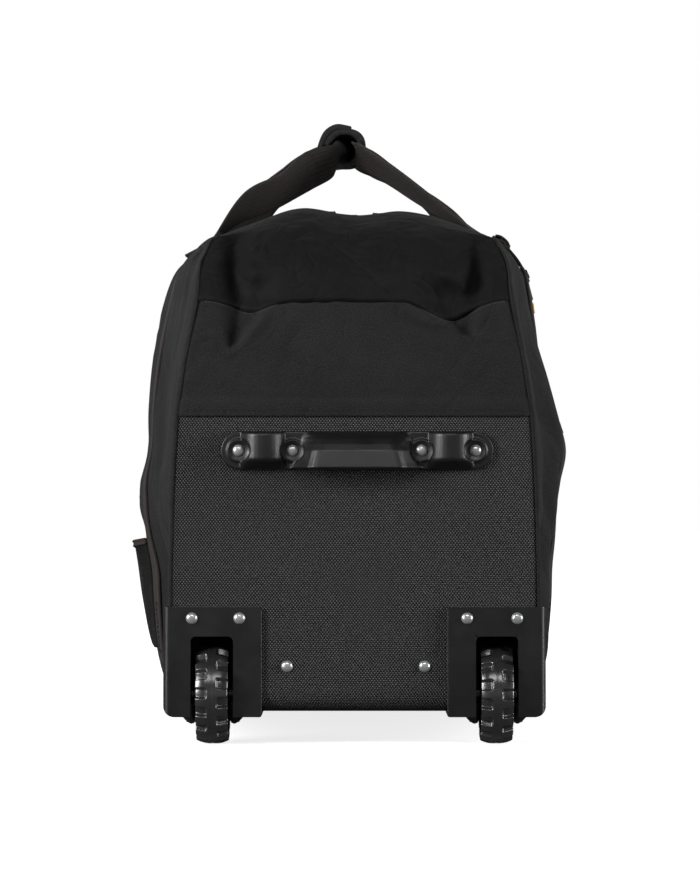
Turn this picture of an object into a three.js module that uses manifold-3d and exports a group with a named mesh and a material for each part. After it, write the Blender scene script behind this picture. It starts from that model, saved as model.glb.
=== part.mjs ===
// A soft holdall with two wheels under one end. It lies on its base with the wheel end facing -Y and
// +Z up. The wheels carry the near end and the cloth base rests on the floor at the far end.
import * as THREE from 'three';
import { mergeVertices } from 'three/addons/utils/BufferGeometryUtils.js';
import Module from 'manifold-3d';

const wasm = await Module();
wasm.setup();

// Driving dimensions, in millimetres
const LENGTH = 780; // cloth body from the wheel end to the far end
const NEAR_Y = -393; // outer face of the stiff wheel-end panel
const FAR_Y = NEAR_Y + LENGTH;
const CANVAS = 2; // canvas wall
const STIFF = 3; // stiff woven panel and base board
const GAP = 0.3; // clearance between neighbouring pieces
const SEAM = 0.9; // clearance between walls that meet at a corner
const AXLE_HEIGHT = 40; // wheel radius: the tyre stands on the floor
const CORNER_DEPTH = 76; // length of side behind each end that stays straight by the wheel corners
const CORNER_TOP = 108; // height of that straight length
const FILL_POWER = 2.6; // how soon the sides fill out behind the ends
const BASE_RISE = 26.4; // base above the floor at the wheel end
const BASE_LEVEL = 75; // length of base behind the wheel end that stays level
const REST_START = 170; // from here to the far end the base lies on the floor
const WEAVE_TOP = 237.6; // top edge of the woven panel above the base
const SEAM_TOP = 331; // seam between the canvas end and the top panel, above the base
const WHEEL_X = 114;
const WHEEL_Y = NEAR_Y + 22.5;
const WHEEL_WIDTH = 26;
const SLOT_WIDTH = 34; // opening in each wheel corner
const STRAP_WIDTH = 38;
const STRAP_THICK = 2.4;
const STRAP_NEAR_Y = -240; // where the carry straps leave the sides
const STRAP_FAR_Y = 262;
const HANDLE_X = 2; // middle of the moulded handle
const HANDLE_Z = 235.5;

// A short table: one object for each row, with the columns as keys.
const table = (columns, rows) =>
  rows.map((row) => Object.fromEntries(columns.map((name, i) => [name, row[i]])));

// Outline of the sides from the base seam up to the shoulder seam. Heights are above the base, the
// halves are half widths, and the setback is how far that height leans back from the end plane.
const LEVELS = table(
  ['endHeight', 'endHalf', 'setback', 'midHeight', 'midLeft', 'midRight'],
  [
    [0, 137, 16, 0, 141, 141],
    [4, 143, 5.4, 3.5, 150, 150],
    [16, 148.5, 0, 16, 163, 161],
    [45, 149.5, 0, 46, 174, 168],
    [90, 149.5, 0, 92, 181, 173],
    [128, 149, 0, 130, 184, 172.5],
    [163, 148, 0, 166, 186, 175],
    [187, 147, 0, 190, 187, 181.5],
    [214, 145.5, 0, 220, 180, 185.5],
    [246, 143, 0, 256, 178.5, 174.5],
    [284, 137, 1.5, 292, 175, 163],
    [331, 127, 6, 330, 168, 157],
    [352, 123, 22, 366, 157.5, 150],
    [374, 120, 40, 387, 139, 134],
    [384, 117, 46, 396, 127, 121],
  ],
);
const LAST = LEVELS.length - 1;

// Stations of the top panel from the end seam to mid length. The edge follows the side panel: up its
// end edge level by level, then along its shoulder.
const TOP = table(
  ['centreSet', 'centreHeight', 'edgeSet', 'edgeLevel'],
  [
    [4, 331, 6, 11],
    [13, 353, 22, 12],
    [30, 376, 40, 13],
    [58, 394, 46, 14],
    [100, 406, 100, 14],
    [170, 416, 170, 14],
    [270, 420, 270, 14],
    [390, 422, 390, 14],
  ],
);

// Soft folds that run up the sides: place along the length, height, spread both ways, and depth.
const SIDE_FOLDS = table(
  ['side', 'y', 'height', 'widthY', 'widthZ', 'depth'],
  [
    [-1, -330, 260, 26, 130, -7],
    [-1, -150, 300, 40, 90, 2],
    [-1, 90, 250, 60, 110, -5],
    [-1, 300, 240, 30, 140, -7],
    [1, -325, 270, 28, 120, -7],
    [1, -60, 160, 90, 16, -5],
    [1, 120, 300, 50, 80, -4],
    [1, 310, 230, 30, 140, -7],
  ],
);

// Hollows and swells of the end above the woven panel: place across, height, spread, and depth.
const END_FOLDS = table(
  ['x', 'height', 'widthX', 'widthZ', 'depth'],
  [
    [-97, 368, 13, 34, 15],
    [98, 362, 13, 36, 16],
    [-30, 352, 46, 20, -6],
    [52, 348, 30, 16, -6],
    [0, 280, 90, 40, -3],
  ],
);

// Pinched dents under the end seam: the seam dips at x, and a wedge below it runs to a point.
const PINCHES = table(
  ['x', 'dip', 'halfWidth', 'tipX', 'tipHeight', 'depth'],
  [
    [-84, 10, 20, -99, 287, 9],
    [77, 17, 24, 94, 296, 10],
  ],
);

// Free run of each carry strap from the near shoulder through the wrap to the far shoulder. The turn is
// that of its width about its own line, in degrees: 180 and 360 lie level, and 270 stands on edge.
const RUN_COLUMNS = ['x', 'y', 'z', 'turn', 'width'];
const STRAP_RUN_LEFT = table(RUN_COLUMNS, [
  [-119, -229, 424, 206, 38],
  [-96, -205, 445, 238, 38],
  [-65, -165, 468, 250, 38],
  [-38, -120, 487, 256, 36],
  [-20, -92, 500, 264, 28],
  [-13.6, -74, 510, 270, 20.5],
  [-13.6, 0, 517.4, 270, 20.5],
  [-13.8, 74, 524.6, 270, 20.5],
  [-31, 102, 516, 300, 31],
  [-52, 130, 507, 338, 38],
  [-72, 160, 497, 346, 38],
  [-92, 190, 484, 350, 38],
  [-107, 220, 461, 354, 38],
  [-117, 243, 431, 358, 38],
]);
const STRAP_RUN_RIGHT = table(RUN_COLUMNS, [
  [112, -230, 425, 200, 38],
  [80, -205, 442, 219, 38],
  [47, -165, 464, 228, 38],
  [23, -120, 485, 238, 36],
  [7, -92, 499, 256, 28],
  [-1.6, -74, 510, 270, 20.5],
  [-1.6, 0, 517.4, 270, 20.5],
  [-1.4, 74, 524, 270, 20.5],
  [28, 102, 504, 305, 30],
  [51, 130, 489, 340, 37],
  [71, 160, 479, 348, 38],
  [90, 190, 468, 352, 38],
  [105, 220, 451, 356, 38],
  [116.5, 246, 429, 358, 38],
]);
const WRAP_TILT = 5.6; // degrees that the far end of the wrap is raised

const clamp = THREE.MathUtils.clamp;
const lerp = THREE.MathUtils.lerp;
const smooth = THREE.MathUtils.smoothstep;
const bump = (distance, width) => Math.exp(-((distance / width) ** 2));
const vec = (x, y, z) => new THREE.Vector3(x, y, z);
const WRAP = vec(-7.6, 0, 517.9); // middle of the wrap, between the straps in it

// Value of a column between rows, on a smooth curve through them.
function sample(rows, column, place) {
  const i = clamp(Math.floor(place), 0, rows.length - 2);
  const t = place - i;
  const at = (k) => rows[clamp(k, 0, rows.length - 1)][column];
  const slopeA = (at(i + 1) - at(i - 1)) / 2;
  const slopeB = (at(i + 2) - at(i)) / 2;
  const rise = at(i + 1) - at(i);
  const t2 = t * t;
  const t3 = t2 * t;
  return at(i) + slopeA * (t3 - 2 * t2 + t) + slopeB * (t3 - t2) + rise * (3 * t2 - 2 * t3);
}

// Level whose end height is the one asked for.
function levelAt(height) {
  let low = 0;
  let high = LAST;
  for (let i = 0; i < 40; i += 1) {
    const middle = (low + high) / 2;
    if (sample(LEVELS, 'endHeight', middle) < height) low = middle;
    else high = middle;
  }
  return low;
}

// Height of the base above the floor.
function baseZ(y) {
  const start = NEAR_Y + BASE_LEVEL;
  return BASE_RISE * (1 - clamp((y - start) / (REST_START - start), 0, 1));
}

// How far the sides have filled out from the end's outline, from 0 at the ends to 1 at mid length.
// The wheel corners keep the lowest part of the ends straight.
function fullness(y, height) {
  const fromEnd = Math.min(y - NEAR_Y, FAR_Y - y);
  const straight = CORNER_DEPTH * (1 - smooth(height, CORNER_TOP, CORNER_TOP + 62));
  const s = clamp((fromEnd - straight) / (LENGTH / 2 - straight), 0, 1);
  return 1 - (1 - s) ** FILL_POWER;
}

// A point of the outer face of a side panel. side is -1 for left and 1 for right.
function sidePoint(side, y, level) {
  const midHeight = sample(LEVELS, 'midHeight', level);
  const full = fullness(y, midHeight);
  const height = lerp(sample(LEVELS, 'endHeight', level), midHeight, full);
  let half = lerp(
    sample(LEVELS, 'endHalf', level),
    sample(LEVELS, side < 0 ? 'midLeft' : 'midRight', level),
    full,
  );
  for (const fold of SIDE_FOLDS.filter((row) => row.side === side)) {
    half += fold.depth * bump(y - fold.y, fold.widthY) * bump(height - fold.height, fold.widthZ);
  }
  return vec(side * half, y, baseZ(y) + height);
}

// The outward direction of a side panel.
function sideNormal(side, y, level) {
  const along = sidePoint(side, y + 2, level).sub(sidePoint(side, y - 2, level));
  const up = sidePoint(side, y, level + 0.05).sub(sidePoint(side, y, level - 0.05));
  const normal = along.cross(up).normalize();
  return normal.x * side > 0 ? normal : normal.negate();
}

// Near and far limits of a level along the length.
const setback = (level) => Math.max(sample(LEVELS, 'setback', level), 0);
const nearAt = (level) => NEAR_Y + setback(level);
const farAt = (level) => FAR_Y - setback(level);

// How far the end's cloth is pushed in (positive) or swells out, at a place across and a height.
function endDent(x, height) {
  let dent = 0;
  for (const fold of END_FOLDS) {
    dent += fold.depth * bump(x - fold.x, fold.widthX) * bump(height - fold.height, fold.widthZ);
  }
  for (const pinch of PINCHES) {
    const rise = clamp((height - pinch.tipHeight) / (SEAM_TOP - pinch.tipHeight), 0, 1);
    const middle = lerp(pinch.tipX, pinch.x, rise);
    const inside = clamp(1 - Math.abs(x - middle) / (pinch.halfWidth * (0.25 + rise)), 0, 1);
    const fade = 1 - smooth(height, SEAM_TOP, SEAM_TOP + 24);
    dent += pinch.depth * smooth(inside, 0, 0.8) * smooth(rise, 0, 0.25) * fade;
  }
  return dent;
}

// Height of the end seam, which dips where the cloth is pinched.
function seamHeight(x) {
  return SEAM_TOP - PINCHES.reduce((sum, row) => sum + row.dip * bump(x - row.x, row.halfWidth), 0);
}

// A closed geometry from vertices and triangles, turned so that its faces point out.
function closedGeometry(points, triangles) {
  const volume = triangles.reduce((sum, [a, b, c]) => {
    const cross = new THREE.Vector3().crossVectors(points[b], points[c]);
    return sum + points[a].dot(cross);
  }, 0);
  const facing = volume > 0 ? triangles : triangles.map(([a, b, c]) => [a, c, b]);
  const geometry = new THREE.BufferGeometry();
  geometry.setAttribute(
    'position',
    new THREE.Float32BufferAttribute(points.flatMap((p) => [p.x, p.y, p.z]), 3),
  );
  geometry.setIndex(facing.flat());
  return geometry;
}

// A wall under a surface point(i, j) of a grid, with its thickness added towards the inside point.
function wall(point, columns, rows, thickness, inside = vec(0, 0, 200)) {
  const outer = [];
  for (let i = 0; i <= columns; i += 1) {
    for (let j = 0; j <= rows; j += 1) outer.push(point(i / columns, j / rows));
  }
  const at = (i, j) => i * (rows + 1) + j;
  const normalAt = (i, j) => {
    const a = outer[at(Math.max(i - 1, 0), j)];
    const b = outer[at(Math.min(i + 1, columns), j)];
    const c = outer[at(i, Math.max(j - 1, 0))];
    const d = outer[at(i, Math.min(j + 1, rows))];
    return b.clone().sub(a).cross(d.clone().sub(c)).normalize();
  };
  const middle = [Math.round(columns / 2), Math.round(rows / 2)];
  const away = outer[at(...middle)].clone().sub(inside);
  const turn = normalAt(...middle).dot(away) > 0 ? -thickness : thickness;
  const inner = [];
  for (let i = 0; i <= columns; i += 1) {
    for (let j = 0; j <= rows; j += 1) {
      inner.push(outer[at(i, j)].clone().addScaledVector(normalAt(i, j), turn));
    }
  }
  const shift = outer.length;
  const triangles = [];
  const quad = (a, b, c, d) => triangles.push([a, b, c], [a, c, d]);
  for (let i = 0; i < columns; i += 1) {
    for (let j = 0; j < rows; j += 1) {
      const ring = [at(i, j), at(i + 1, j), at(i + 1, j + 1), at(i, j + 1)];
      quad(...ring);
      quad(...ring.map((k) => k + shift).reverse());
    }
  }
  const rim = [];
  for (let i = 0; i < columns; i += 1) rim.push(at(i, 0));
  for (let j = 0; j < rows; j += 1) rim.push(at(columns, j));
  for (let i = columns; i > 0; i -= 1) rim.push(at(i, rows));
  for (let j = rows; j > 0; j -= 1) rim.push(at(0, j));
  rim.forEach((a, k) => {
    const b = rim[(k + 1) % rim.length];
    quad(b, a, a + shift, b + shift);
  });
  return closedGeometry(outer.concat(inner), triangles);
}

// A solid through rings of points, closed by flat ends.
function loft(rings) {
  const count = rings[0].length;
  const points = rings.flat();
  const triangles = [];
  for (let r = 0; r + 1 < rings.length; r += 1) {
    for (let k = 0; k < count; k += 1) {
      const a = r * count + k;
      const b = r * count + ((k + 1) % count);
      triangles.push([a, b, b + count], [a, b + count, a + count]);
    }
  }
  const last = (rings.length - 1) * count;
  for (let k = 1; k + 1 < count; k += 1) {
    triangles.push([0, k + 1, k], [last, last + k, last + k + 1]);
  }
  return closedGeometry(points, triangles);
}

// A flat band along a path of places, each with a point and a direction for its width, and a width of
// its own where it has one.
function band(places, usualWidth, thickness) {
  const rings = places.map(({ point, across, width = usualWidth }, i) => {
    const before = places[Math.max(i - 1, 0)].point;
    const after = places[Math.min(i + 1, places.length - 1)].point;
    const along = after.clone().sub(before).normalize();
    const side = across.clone().addScaledVector(along, -across.dot(along)).normalize();
    const face = along.clone().cross(side);
    return [[1, 1], [1, -1], [-1, -1], [-1, 1]].map(([a, b]) =>
      point
        .clone()
        .addScaledVector(side, (a * width) / 2)
        .addScaledVector(face, (b * thickness) / 2));
  });
  return loft(rings);
}

// Booleans
function solidOf(geometry) {
  const bare = geometry.clone();
  bare.deleteAttribute('normal');
  bare.deleteAttribute('uv');
  const merged = mergeVertices(bare, 1e-4);
  const vertProperties = new Float32Array(merged.attributes.position.array);
  const triVerts = new Uint32Array(merged.index.array);
  return new wasm.Manifold(new wasm.Mesh({ numProp: 3, vertProperties, triVerts }));
}

function geometryOf(manifold) {
  const mesh = manifold.getMesh();
  const geometry = new THREE.BufferGeometry();
  geometry.setAttribute('position', new THREE.BufferAttribute(mesh.vertProperties, 3));
  geometry.setIndex(new THREE.BufferAttribute(mesh.triVerts, 1));
  return geometry;
}

const cut = (geometry, tools) =>
  geometryOf(tools.reduce((body, tool) => body.subtract(solidOf(tool)), solidOf(geometry)));
const join = (first, ...others) =>
  geometryOf(others.reduce((body, other) => body.add(solidOf(other)), solidOf(first)));
const overlap = (first, second) => geometryOf(solidOf(first).intersect(solidOf(second)));

// A box between two corners.
function block(low, high) {
  const size = high.clone().sub(low);
  const geometry = new THREE.BoxGeometry(size.x, size.y, size.z);
  return geometry.translate((low.x + high.x) / 2, (low.y + high.y) / 2, (low.z + high.z) / 2);
}

// A closed outline drawn across the bag, in x and z, pushed from y to y + depth.
function crosswise(shape, y, depth, curveSegments = 4) {
  const geometry = new THREE.ExtrudeGeometry(shape, { depth, bevelEnabled: false, curveSegments });
  return geometry.rotateX(Math.PI / 2).translate(0, y + depth, 0);
}

// A closed outline drawn along the bag, in y and z, pushed from x to x + depth.
function lengthwise(shape, x, depth, curveSegments = 6) {
  const geometry = new THREE.ExtrudeGeometry(shape, { depth, bevelEnabled: false, curveSegments });
  return geometry.rotateX(Math.PI / 2).rotateZ(Math.PI / 2).translate(x, 0, 0);
}

// A turned shape about the y axis: profile points are [radius, place along -y].
function turned(profile, sides) {
  const points = profile.map(([radius, place]) => new THREE.Vector2(radius, place));
  return new THREE.LatheGeometry(points, sides).rotateX(Math.PI);
}

// A round pin along y, for holes.
const pinAlongY = (x, y, z, radius, length) =>
  new THREE.CylinderGeometry(radius, radius, length, 6).translate(x, y, z);

// A rectangle with one radius for each corner, from the low corner round anticlockwise.
function roundedRectangle(x0, z0, x1, z1, radii) {
  const [a, b, c, d] = radii;
  const shape = new THREE.Shape();
  shape.moveTo(x0 + a, z0);
  shape.lineTo(x1 - b, z0);
  shape.absarc(x1 - b, z0 + b, b, -Math.PI / 2, 0, false);
  shape.lineTo(x1, z1 - c);
  shape.absarc(x1 - c, z1 - c, c, 0, Math.PI / 2, false);
  shape.lineTo(x0 + d, z1);
  shape.absarc(x0 + d, z1 - d, d, Math.PI / 2, Math.PI, false);
  shape.lineTo(x0, z0 + a);
  shape.absarc(x0 + a, z0 + a, a, Math.PI, 1.5 * Math.PI, false);
  return shape;
}

const bag = new THREE.Group();
const FINISHES = {
  canvas: { color: 0x232323, roughness: 0.9, metalness: 0 },
  weave: { color: 0x2e2e2e, roughness: 0.7, metalness: 0 },
  webbing: { color: 0x292422, roughness: 0.85, metalness: 0 },
  plastic: { color: 0x1d1d1e, roughness: 0.42, metalness: 0 },
  tyre: { color: 0x1a1a1b, roughness: 0.35, metalness: 0 },
  zinc: { color: 0xd8dadc, roughness: 0.25, metalness: 1 },
  zip: { color: 0x171717, roughness: 0.5, metalness: 0 },
  yellow: { color: 0xe0a112, roughness: 0.5, metalness: 0 },
};

// Adds a named piece to the bag.
function piece(name, geometry, finish, place = vec(0, 0, 0)) {
  const mesh = new THREE.Mesh(geometry, new THREE.MeshStandardMaterial(FINISHES[finish]));
  mesh.name = name;
  mesh.position.copy(place);
  bag.add(mesh);
}

// Rivets: places on the end panel, and how far their seats stand in front of it
const RIVET_HEAD = 4.7; // radius
const RIVET_SHANK = 2.1; // radius
const PLATE_THICK = 3.2; // moulded plates
const HANDLE_RIVET_OUTER = 94.8; // from the handle's middle
const HANDLE_RIVET_INNER = 51.6;
const HOUSING_RIVET_Z = 101.5;
const PANEL_RIVET_Z = 63;
const RIVETS = table(
  ['name', 'x', 'z', 'seat'],
  [
    ['handle_rivet_1', HANDLE_X - HANDLE_RIVET_OUTER, HANDLE_Z, PLATE_THICK],
    ['handle_rivet_2', HANDLE_X - HANDLE_RIVET_INNER, HANDLE_Z, PLATE_THICK],
    ['handle_rivet_3', HANDLE_X + HANDLE_RIVET_INNER, HANDLE_Z, PLATE_THICK],
    ['handle_rivet_4', HANDLE_X + HANDLE_RIVET_OUTER, HANDLE_Z, PLATE_THICK],
    ['panel_rivet_left', -54, PANEL_RIVET_Z, 0],
    ['panel_rivet_right', 56, PANEL_RIVET_Z, 0],
    ['housing_rivet_left_outer', -130, HOUSING_RIVET_Z, PLATE_THICK],
    ['housing_rivet_left_inner', -92, HOUSING_RIVET_Z, PLATE_THICK],
    ['housing_rivet_right_inner', 90, HOUSING_RIVET_Z, PLATE_THICK],
    ['housing_rivet_right_outer', 130, HOUSING_RIVET_Z, PLATE_THICK],
  ],
);
const rivetHoles = RIVETS.map((row) =>
  pinAlongY(row.x, NEAR_Y, row.z, RIVET_SHANK + 0.4, 30));

function rivets() {
  const headRise = 2.6;
  const shankLength = PLATE_THICK + STIFF + 1.5;
  const head = turned(
    [
      [0, -shankLength],
      [RIVET_SHANK, -shankLength],
      [RIVET_SHANK, GAP],
      [RIVET_HEAD, GAP],
      [RIVET_HEAD * 0.62, headRise * 0.85],
      [0, headRise],
    ],
    8,
  );
  for (const row of RIVETS) {
    const seatGap = row.seat > 0 ? GAP : 0;
    piece(row.name, head.clone(), 'zinc', vec(row.x, NEAR_Y - row.seat - seatGap, row.z));
  }
}

// Wheel wells, and the space that each takes through the base and the end panel
const WELL_WALL = 4.4;
const WELL_RADIUS = 47;
const WELL_TOP = AXLE_HEIGHT + WELL_RADIUS + 1;
const wellOuter = SLOT_WIDTH / 2 + WELL_WALL;

function wellClearance(side) {
  const half = wellOuter + GAP;
  const back = WHEEL_Y + WELL_RADIUS + WELL_WALL + GAP;
  return block(
    vec(side * WHEEL_X - half, NEAR_Y - 10, 0),
    vec(side * WHEEL_X + half, back, WELL_TOP + WELL_WALL + GAP),
  );
}
const wells = [wellClearance(-1), wellClearance(1)];

// A point of an end panel: across from -1 to 1, at a level, set in from the side walls.
function endPoint(end, across, level) {
  const half = sample(LEVELS, 'endHalf', level) - CANVAS - 1.3 * SEAM;
  const y = end < 0 ? nearAt(level) : farAt(level);
  return vec(across * half, y, baseZ(y) + sample(LEVELS, 'endHeight', level));
}

function baseAndEnds() {
  const lip = LEVELS[0].setback + SEAM;
  const half = LEVELS[0].endHalf - 2 * SEAM;
  const base = wall(
    (u, v) => {
      const y = lerp(NEAR_Y + lip, FAR_Y - lip, v);
      return vec(lerp(-half, half, u), y, baseZ(y));
    },
    2,
    13,
    STIFF,
  );
  piece('base_panel', cut(base, wells), 'weave');

  const weaveLevel = levelAt(WEAVE_TOP);
  const weave = wall(
    (u, v) => endPoint(-1, lerp(-1, 1, u), weaveLevel * v ** 1.5),
    2,
    9,
    STIFF,
  );
  piece('wheel_end_panel', cut(weave, [...wells, ...rivetHoles]), 'weave');

  const canvasStart = levelAt(WEAVE_TOP + SEAM);
  const canvas = wall(
    (u, v) => {
      const edge = endPoint(-1, lerp(-1, 1, u), lerp(canvasStart, levelAt(SEAM_TOP - SEAM), v));
      const top = seamHeight(edge.x) - SEAM;
      const height = lerp(WEAVE_TOP + SEAM, top, v);
      const loose = smooth(v, 0, 0.3) * (1 - Math.abs(lerp(-1, 1, u)) ** 6);
      return vec(edge.x, edge.y + loose * endDent(edge.x, height), BASE_RISE + height);
    },
    20,
    6,
    CANVAS,
  );
  piece('wheel_end_canvas', canvas, 'canvas');

  const farTop = levelAt(SEAM_TOP - 2 * SEAM);
  const far = wall(
    (u, v) => {
      const point = endPoint(1, lerp(-1, 1, u), farTop * v ** 1.3);
      const swell = Math.cos(lerp(-1, 1, u) * 1.5) * Math.sin(Math.PI * clamp(v * 1.1 - 0.1, 0, 1));
      return point.add(vec(0, 7 * swell, 0));
    },
    6,
    8,
    CANVAS,
  );
  piece('far_end_panel', far, 'canvas');
}

function sides() {
  const make = (side) =>
    wall(
      (u, v) => {
        const level = LAST * v;
        return sidePoint(side, lerp(nearAt(level), farAt(level), u), level);
      },
      16,
      LAST,
      CANVAS,
    );
  piece('side_panel_left', make(-1), 'canvas');
  piece('side_panel_right', make(1), 'canvas');
}

// A point of the top panel. station runs from 0 at the near seam to twice the table's length at the
// far seam, and across from -1 to 1.
function topPoint(station, across) {
  const half = TOP.length - 1;
  const far = station > half;
  const place = far ? 2 * half - station : station;
  const set = sample(TOP, 'centreSet', place);
  const edgeLevel = Math.min(sample(TOP, 'edgeLevel', place), LAST);
  const edgeSet = Math.max(sample(TOP, 'edgeSet', place), setback(edgeLevel));
  const edgeY = far ? FAR_Y - edgeSet : NEAR_Y + edgeSet;
  const edge = sidePoint(across < 0 ? -1 : 1, edgeY, edgeLevel);
  const rise = smooth(place, 0, 3.2);
  const inset = CANVAS + SEAM;
  const x = Math.abs(across) * (Math.abs(edge.x) - inset) * Math.sign(across);
  const centreY = far ? FAR_Y - set : NEAR_Y + set;
  const fall = Math.abs(across) ** lerp(5, 3.2, rise);
  const lobes = rise * (4.5 * bump(Math.abs(x) - 46, 34) - 4.5 * bump(46, 34));
  let height = sample(TOP, 'centreHeight', place) + lobes;
  height = lerp(height, edge.z - baseZ(edgeY), fall);
  let y = lerp(centreY, edgeY, fall);
  if (!far) {
    const onEnd = 1 - smooth(place, 2.2, 4);
    const seam = seamHeight(x) + SEAM;
    height = lerp(height, seam, clamp(1 - place, 0, 1) * (1 - fall));
    y += endDent(x, height) * onEnd * (1 - fall);
  }
  return vec(x, y, baseZ(y) + height);
}

const ZIP_START = 4.2; // station of the main zip's ends
const ZIP_WIDTH = 28;

function topAndZip() {
  const stations = 2 * (TOP.length - 1);
  const canvas = wall((u, v) => topPoint(stations * v, lerp(-1, 1, u)), 12, 22, CANVAS);
  const near = topPoint(ZIP_START, 0);
  const far = topPoint(stations - ZIP_START, 0);
  const slot = block(
    vec(-ZIP_WIDTH / 2 - SEAM, near.y, 340),
    vec(ZIP_WIDTH / 2 + SEAM, far.y, 470),
  );
  piece('top_panel', cut(canvas, [slot]), 'canvas');

  const places = [];
  const steps = 14;
  for (let i = 0; i <= steps; i += 1) {
    const point = topPoint(lerp(ZIP_START, stations - ZIP_START, i / steps), 0);
    point.y += (i === 0 ? SEAM : 0) - (i === steps ? SEAM : 0);
    places.push({ point: point.add(vec(0, 0, -1)), across: vec(1, 0, 0) });
  }
  piece('main_zip', band(places, ZIP_WIDTH, 1.6), 'zip');

  const seat = places[steps - 1].point;
  const body = block(vec(-6, seat.y - 8, seat.z + 2.4), vec(6, seat.y + 8, seat.z + 7));
  const pull = block(vec(-4, seat.y - 40, seat.z + 6.2), vec(4, seat.y - 6, seat.z + 8.6));
  piece('main_zip_slider', join(body, pull), 'zip');
}

// The curved zip of the right side, from its near end over the top and down to its far end
const SIDE_ZIP_LOW = 8.4; // level of its feet
const SIDE_ZIP_TOP = 12.6; // level of its straight run
const SIDE_ZIP_Y = 196; // reach each way along the length
const SIDE_ZIP_TURN = 60; // length that each corner takes
const SIDE_ZIP_WIDTH = 10;
const SIDE_ZIP_TAPE = 1.4; // thickness
const SIDE_SLIDER_AT = -0.62; // place of the slider, from -1 at the near foot to 1 at the far one

// A short bar along a direction from a point, from one distance to another.
function barAlong(point, down, from, to, width, thickness) {
  const ends = [from, to].map((distance) => ({
    point: point.clone().addScaledVector(down, distance),
    across: vec(0, 1, 0),
  }));
  return band(ends, width, thickness);
}

function sideZipPlace(t) {
  const turn = (clamp(Math.abs(t) * 2 - 1, 0, 1) * Math.PI) / 2; // a quarter turn at each foot
  const along = clamp(Math.abs(t) * 2, 0, 1);
  const run = (SIDE_ZIP_Y - SIDE_ZIP_TURN) * along + SIDE_ZIP_TURN * Math.sin(turn);
  const level = lerp(SIDE_ZIP_TOP, SIDE_ZIP_LOW, 1 - Math.cos(turn));
  return { y: Math.sign(t) * run, level };
}

function sideZip() {
  const offset = GAP + SIDE_ZIP_TAPE / 2 + 0.9;
  const steps = 28;
  const centre = (t) => {
    const { y, level } = sideZipPlace(t);
    const normal = sideNormal(1, y, level);
    return { point: sidePoint(1, y, level).addScaledVector(normal, offset), normal };
  };
  const places = [];
  for (let i = 0; i <= steps; i += 1) {
    const t = lerp(-1, 1, i / steps);
    const { point, normal } = centre(t);
    const along = centre(Math.min(t + 0.01, 1)).point.sub(centre(Math.max(t - 0.01, -1)).point);
    places.push({ point, across: normal.cross(along) });
  }
  piece('side_zip', band(places, SIDE_ZIP_WIDTH, SIDE_ZIP_TAPE), 'zip');

  const sliderThick = 4;
  const sliderDrop = 7;
  const pullEnd = sliderDrop + 15.4;
  const tipEnd = pullEnd + 11;
  const { point, normal } = centre(SIDE_SLIDER_AT);
  const { y, level } = sideZipPlace(SIDE_SLIDER_AT);
  const down = sidePoint(1, y, level - 0.4).sub(sidePoint(1, y, level)).normalize();
  const seat = point.addScaledVector(normal, (SIDE_ZIP_TAPE + sliderThick) / 2 + GAP + 0.4);
  piece('side_zip_slider', barAlong(seat, down, -6, sliderDrop, 8, sliderThick), 'zip');
  const hang = seat.clone().addScaledVector(normal, 1.6);
  piece('side_zip_pull', barAlong(hang, down, sliderDrop + 0.4, pullEnd, 5, 3), 'zip');
  piece('side_zip_pull_tip', barAlong(hang, down, pullEnd + 0.4, tipEnd, 7, 4), 'yellow');
}

// Low pocket on the left side, a tray of cloth whose mouth stands away from the side
const POCKET_HALF = 210;
const POCKET_LOW = 3.1; // level
const POCKET_TOP = 5.35; // level
const POCKET_GAPE = 9; // at the near end of the mouth
const POCKET_REST = 6.4; // and from its middle on

function pocket() {
  const columns = 20;
  const gusset = 1 / columns; // share of the run at each end over which the mouth comes off the side
  const point = (u, v) => {
    const level = lerp(POCKET_LOW, POCKET_TOP, v);
    const y = lerp(-POCKET_HALF, POCKET_HALF, u);
    const stand = clamp(Math.min(u, 1 - u) / gusset, 0, 1);
    const gape = stand * lerp(POCKET_GAPE, POCKET_REST, smooth(u, 2 * gusset, 0.4));
    const depth = CANVAS + GAP + 0.5 + gape * (0.12 + 0.88 * v ** 0.8);
    return sidePoint(-1, y, level).addScaledVector(sideNormal(-1, y, level), depth);
  };
  piece('side_pocket_left', wall(point, columns, 3, CANVAS - 0.4), 'canvas');
}

// The direction of a band's width at a turn about its own line: level at 0, on edge at 90.
function widthAtTurn(along, turn) {
  const level = along.clone().cross(vec(0, 0, 1)).normalize();
  const upright = level.clone().cross(along).normalize();
  const angle = THREE.MathUtils.degToRad(turn);
  return level.multiplyScalar(Math.cos(angle)).addScaledVector(upright, Math.sin(angle));
}

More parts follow.
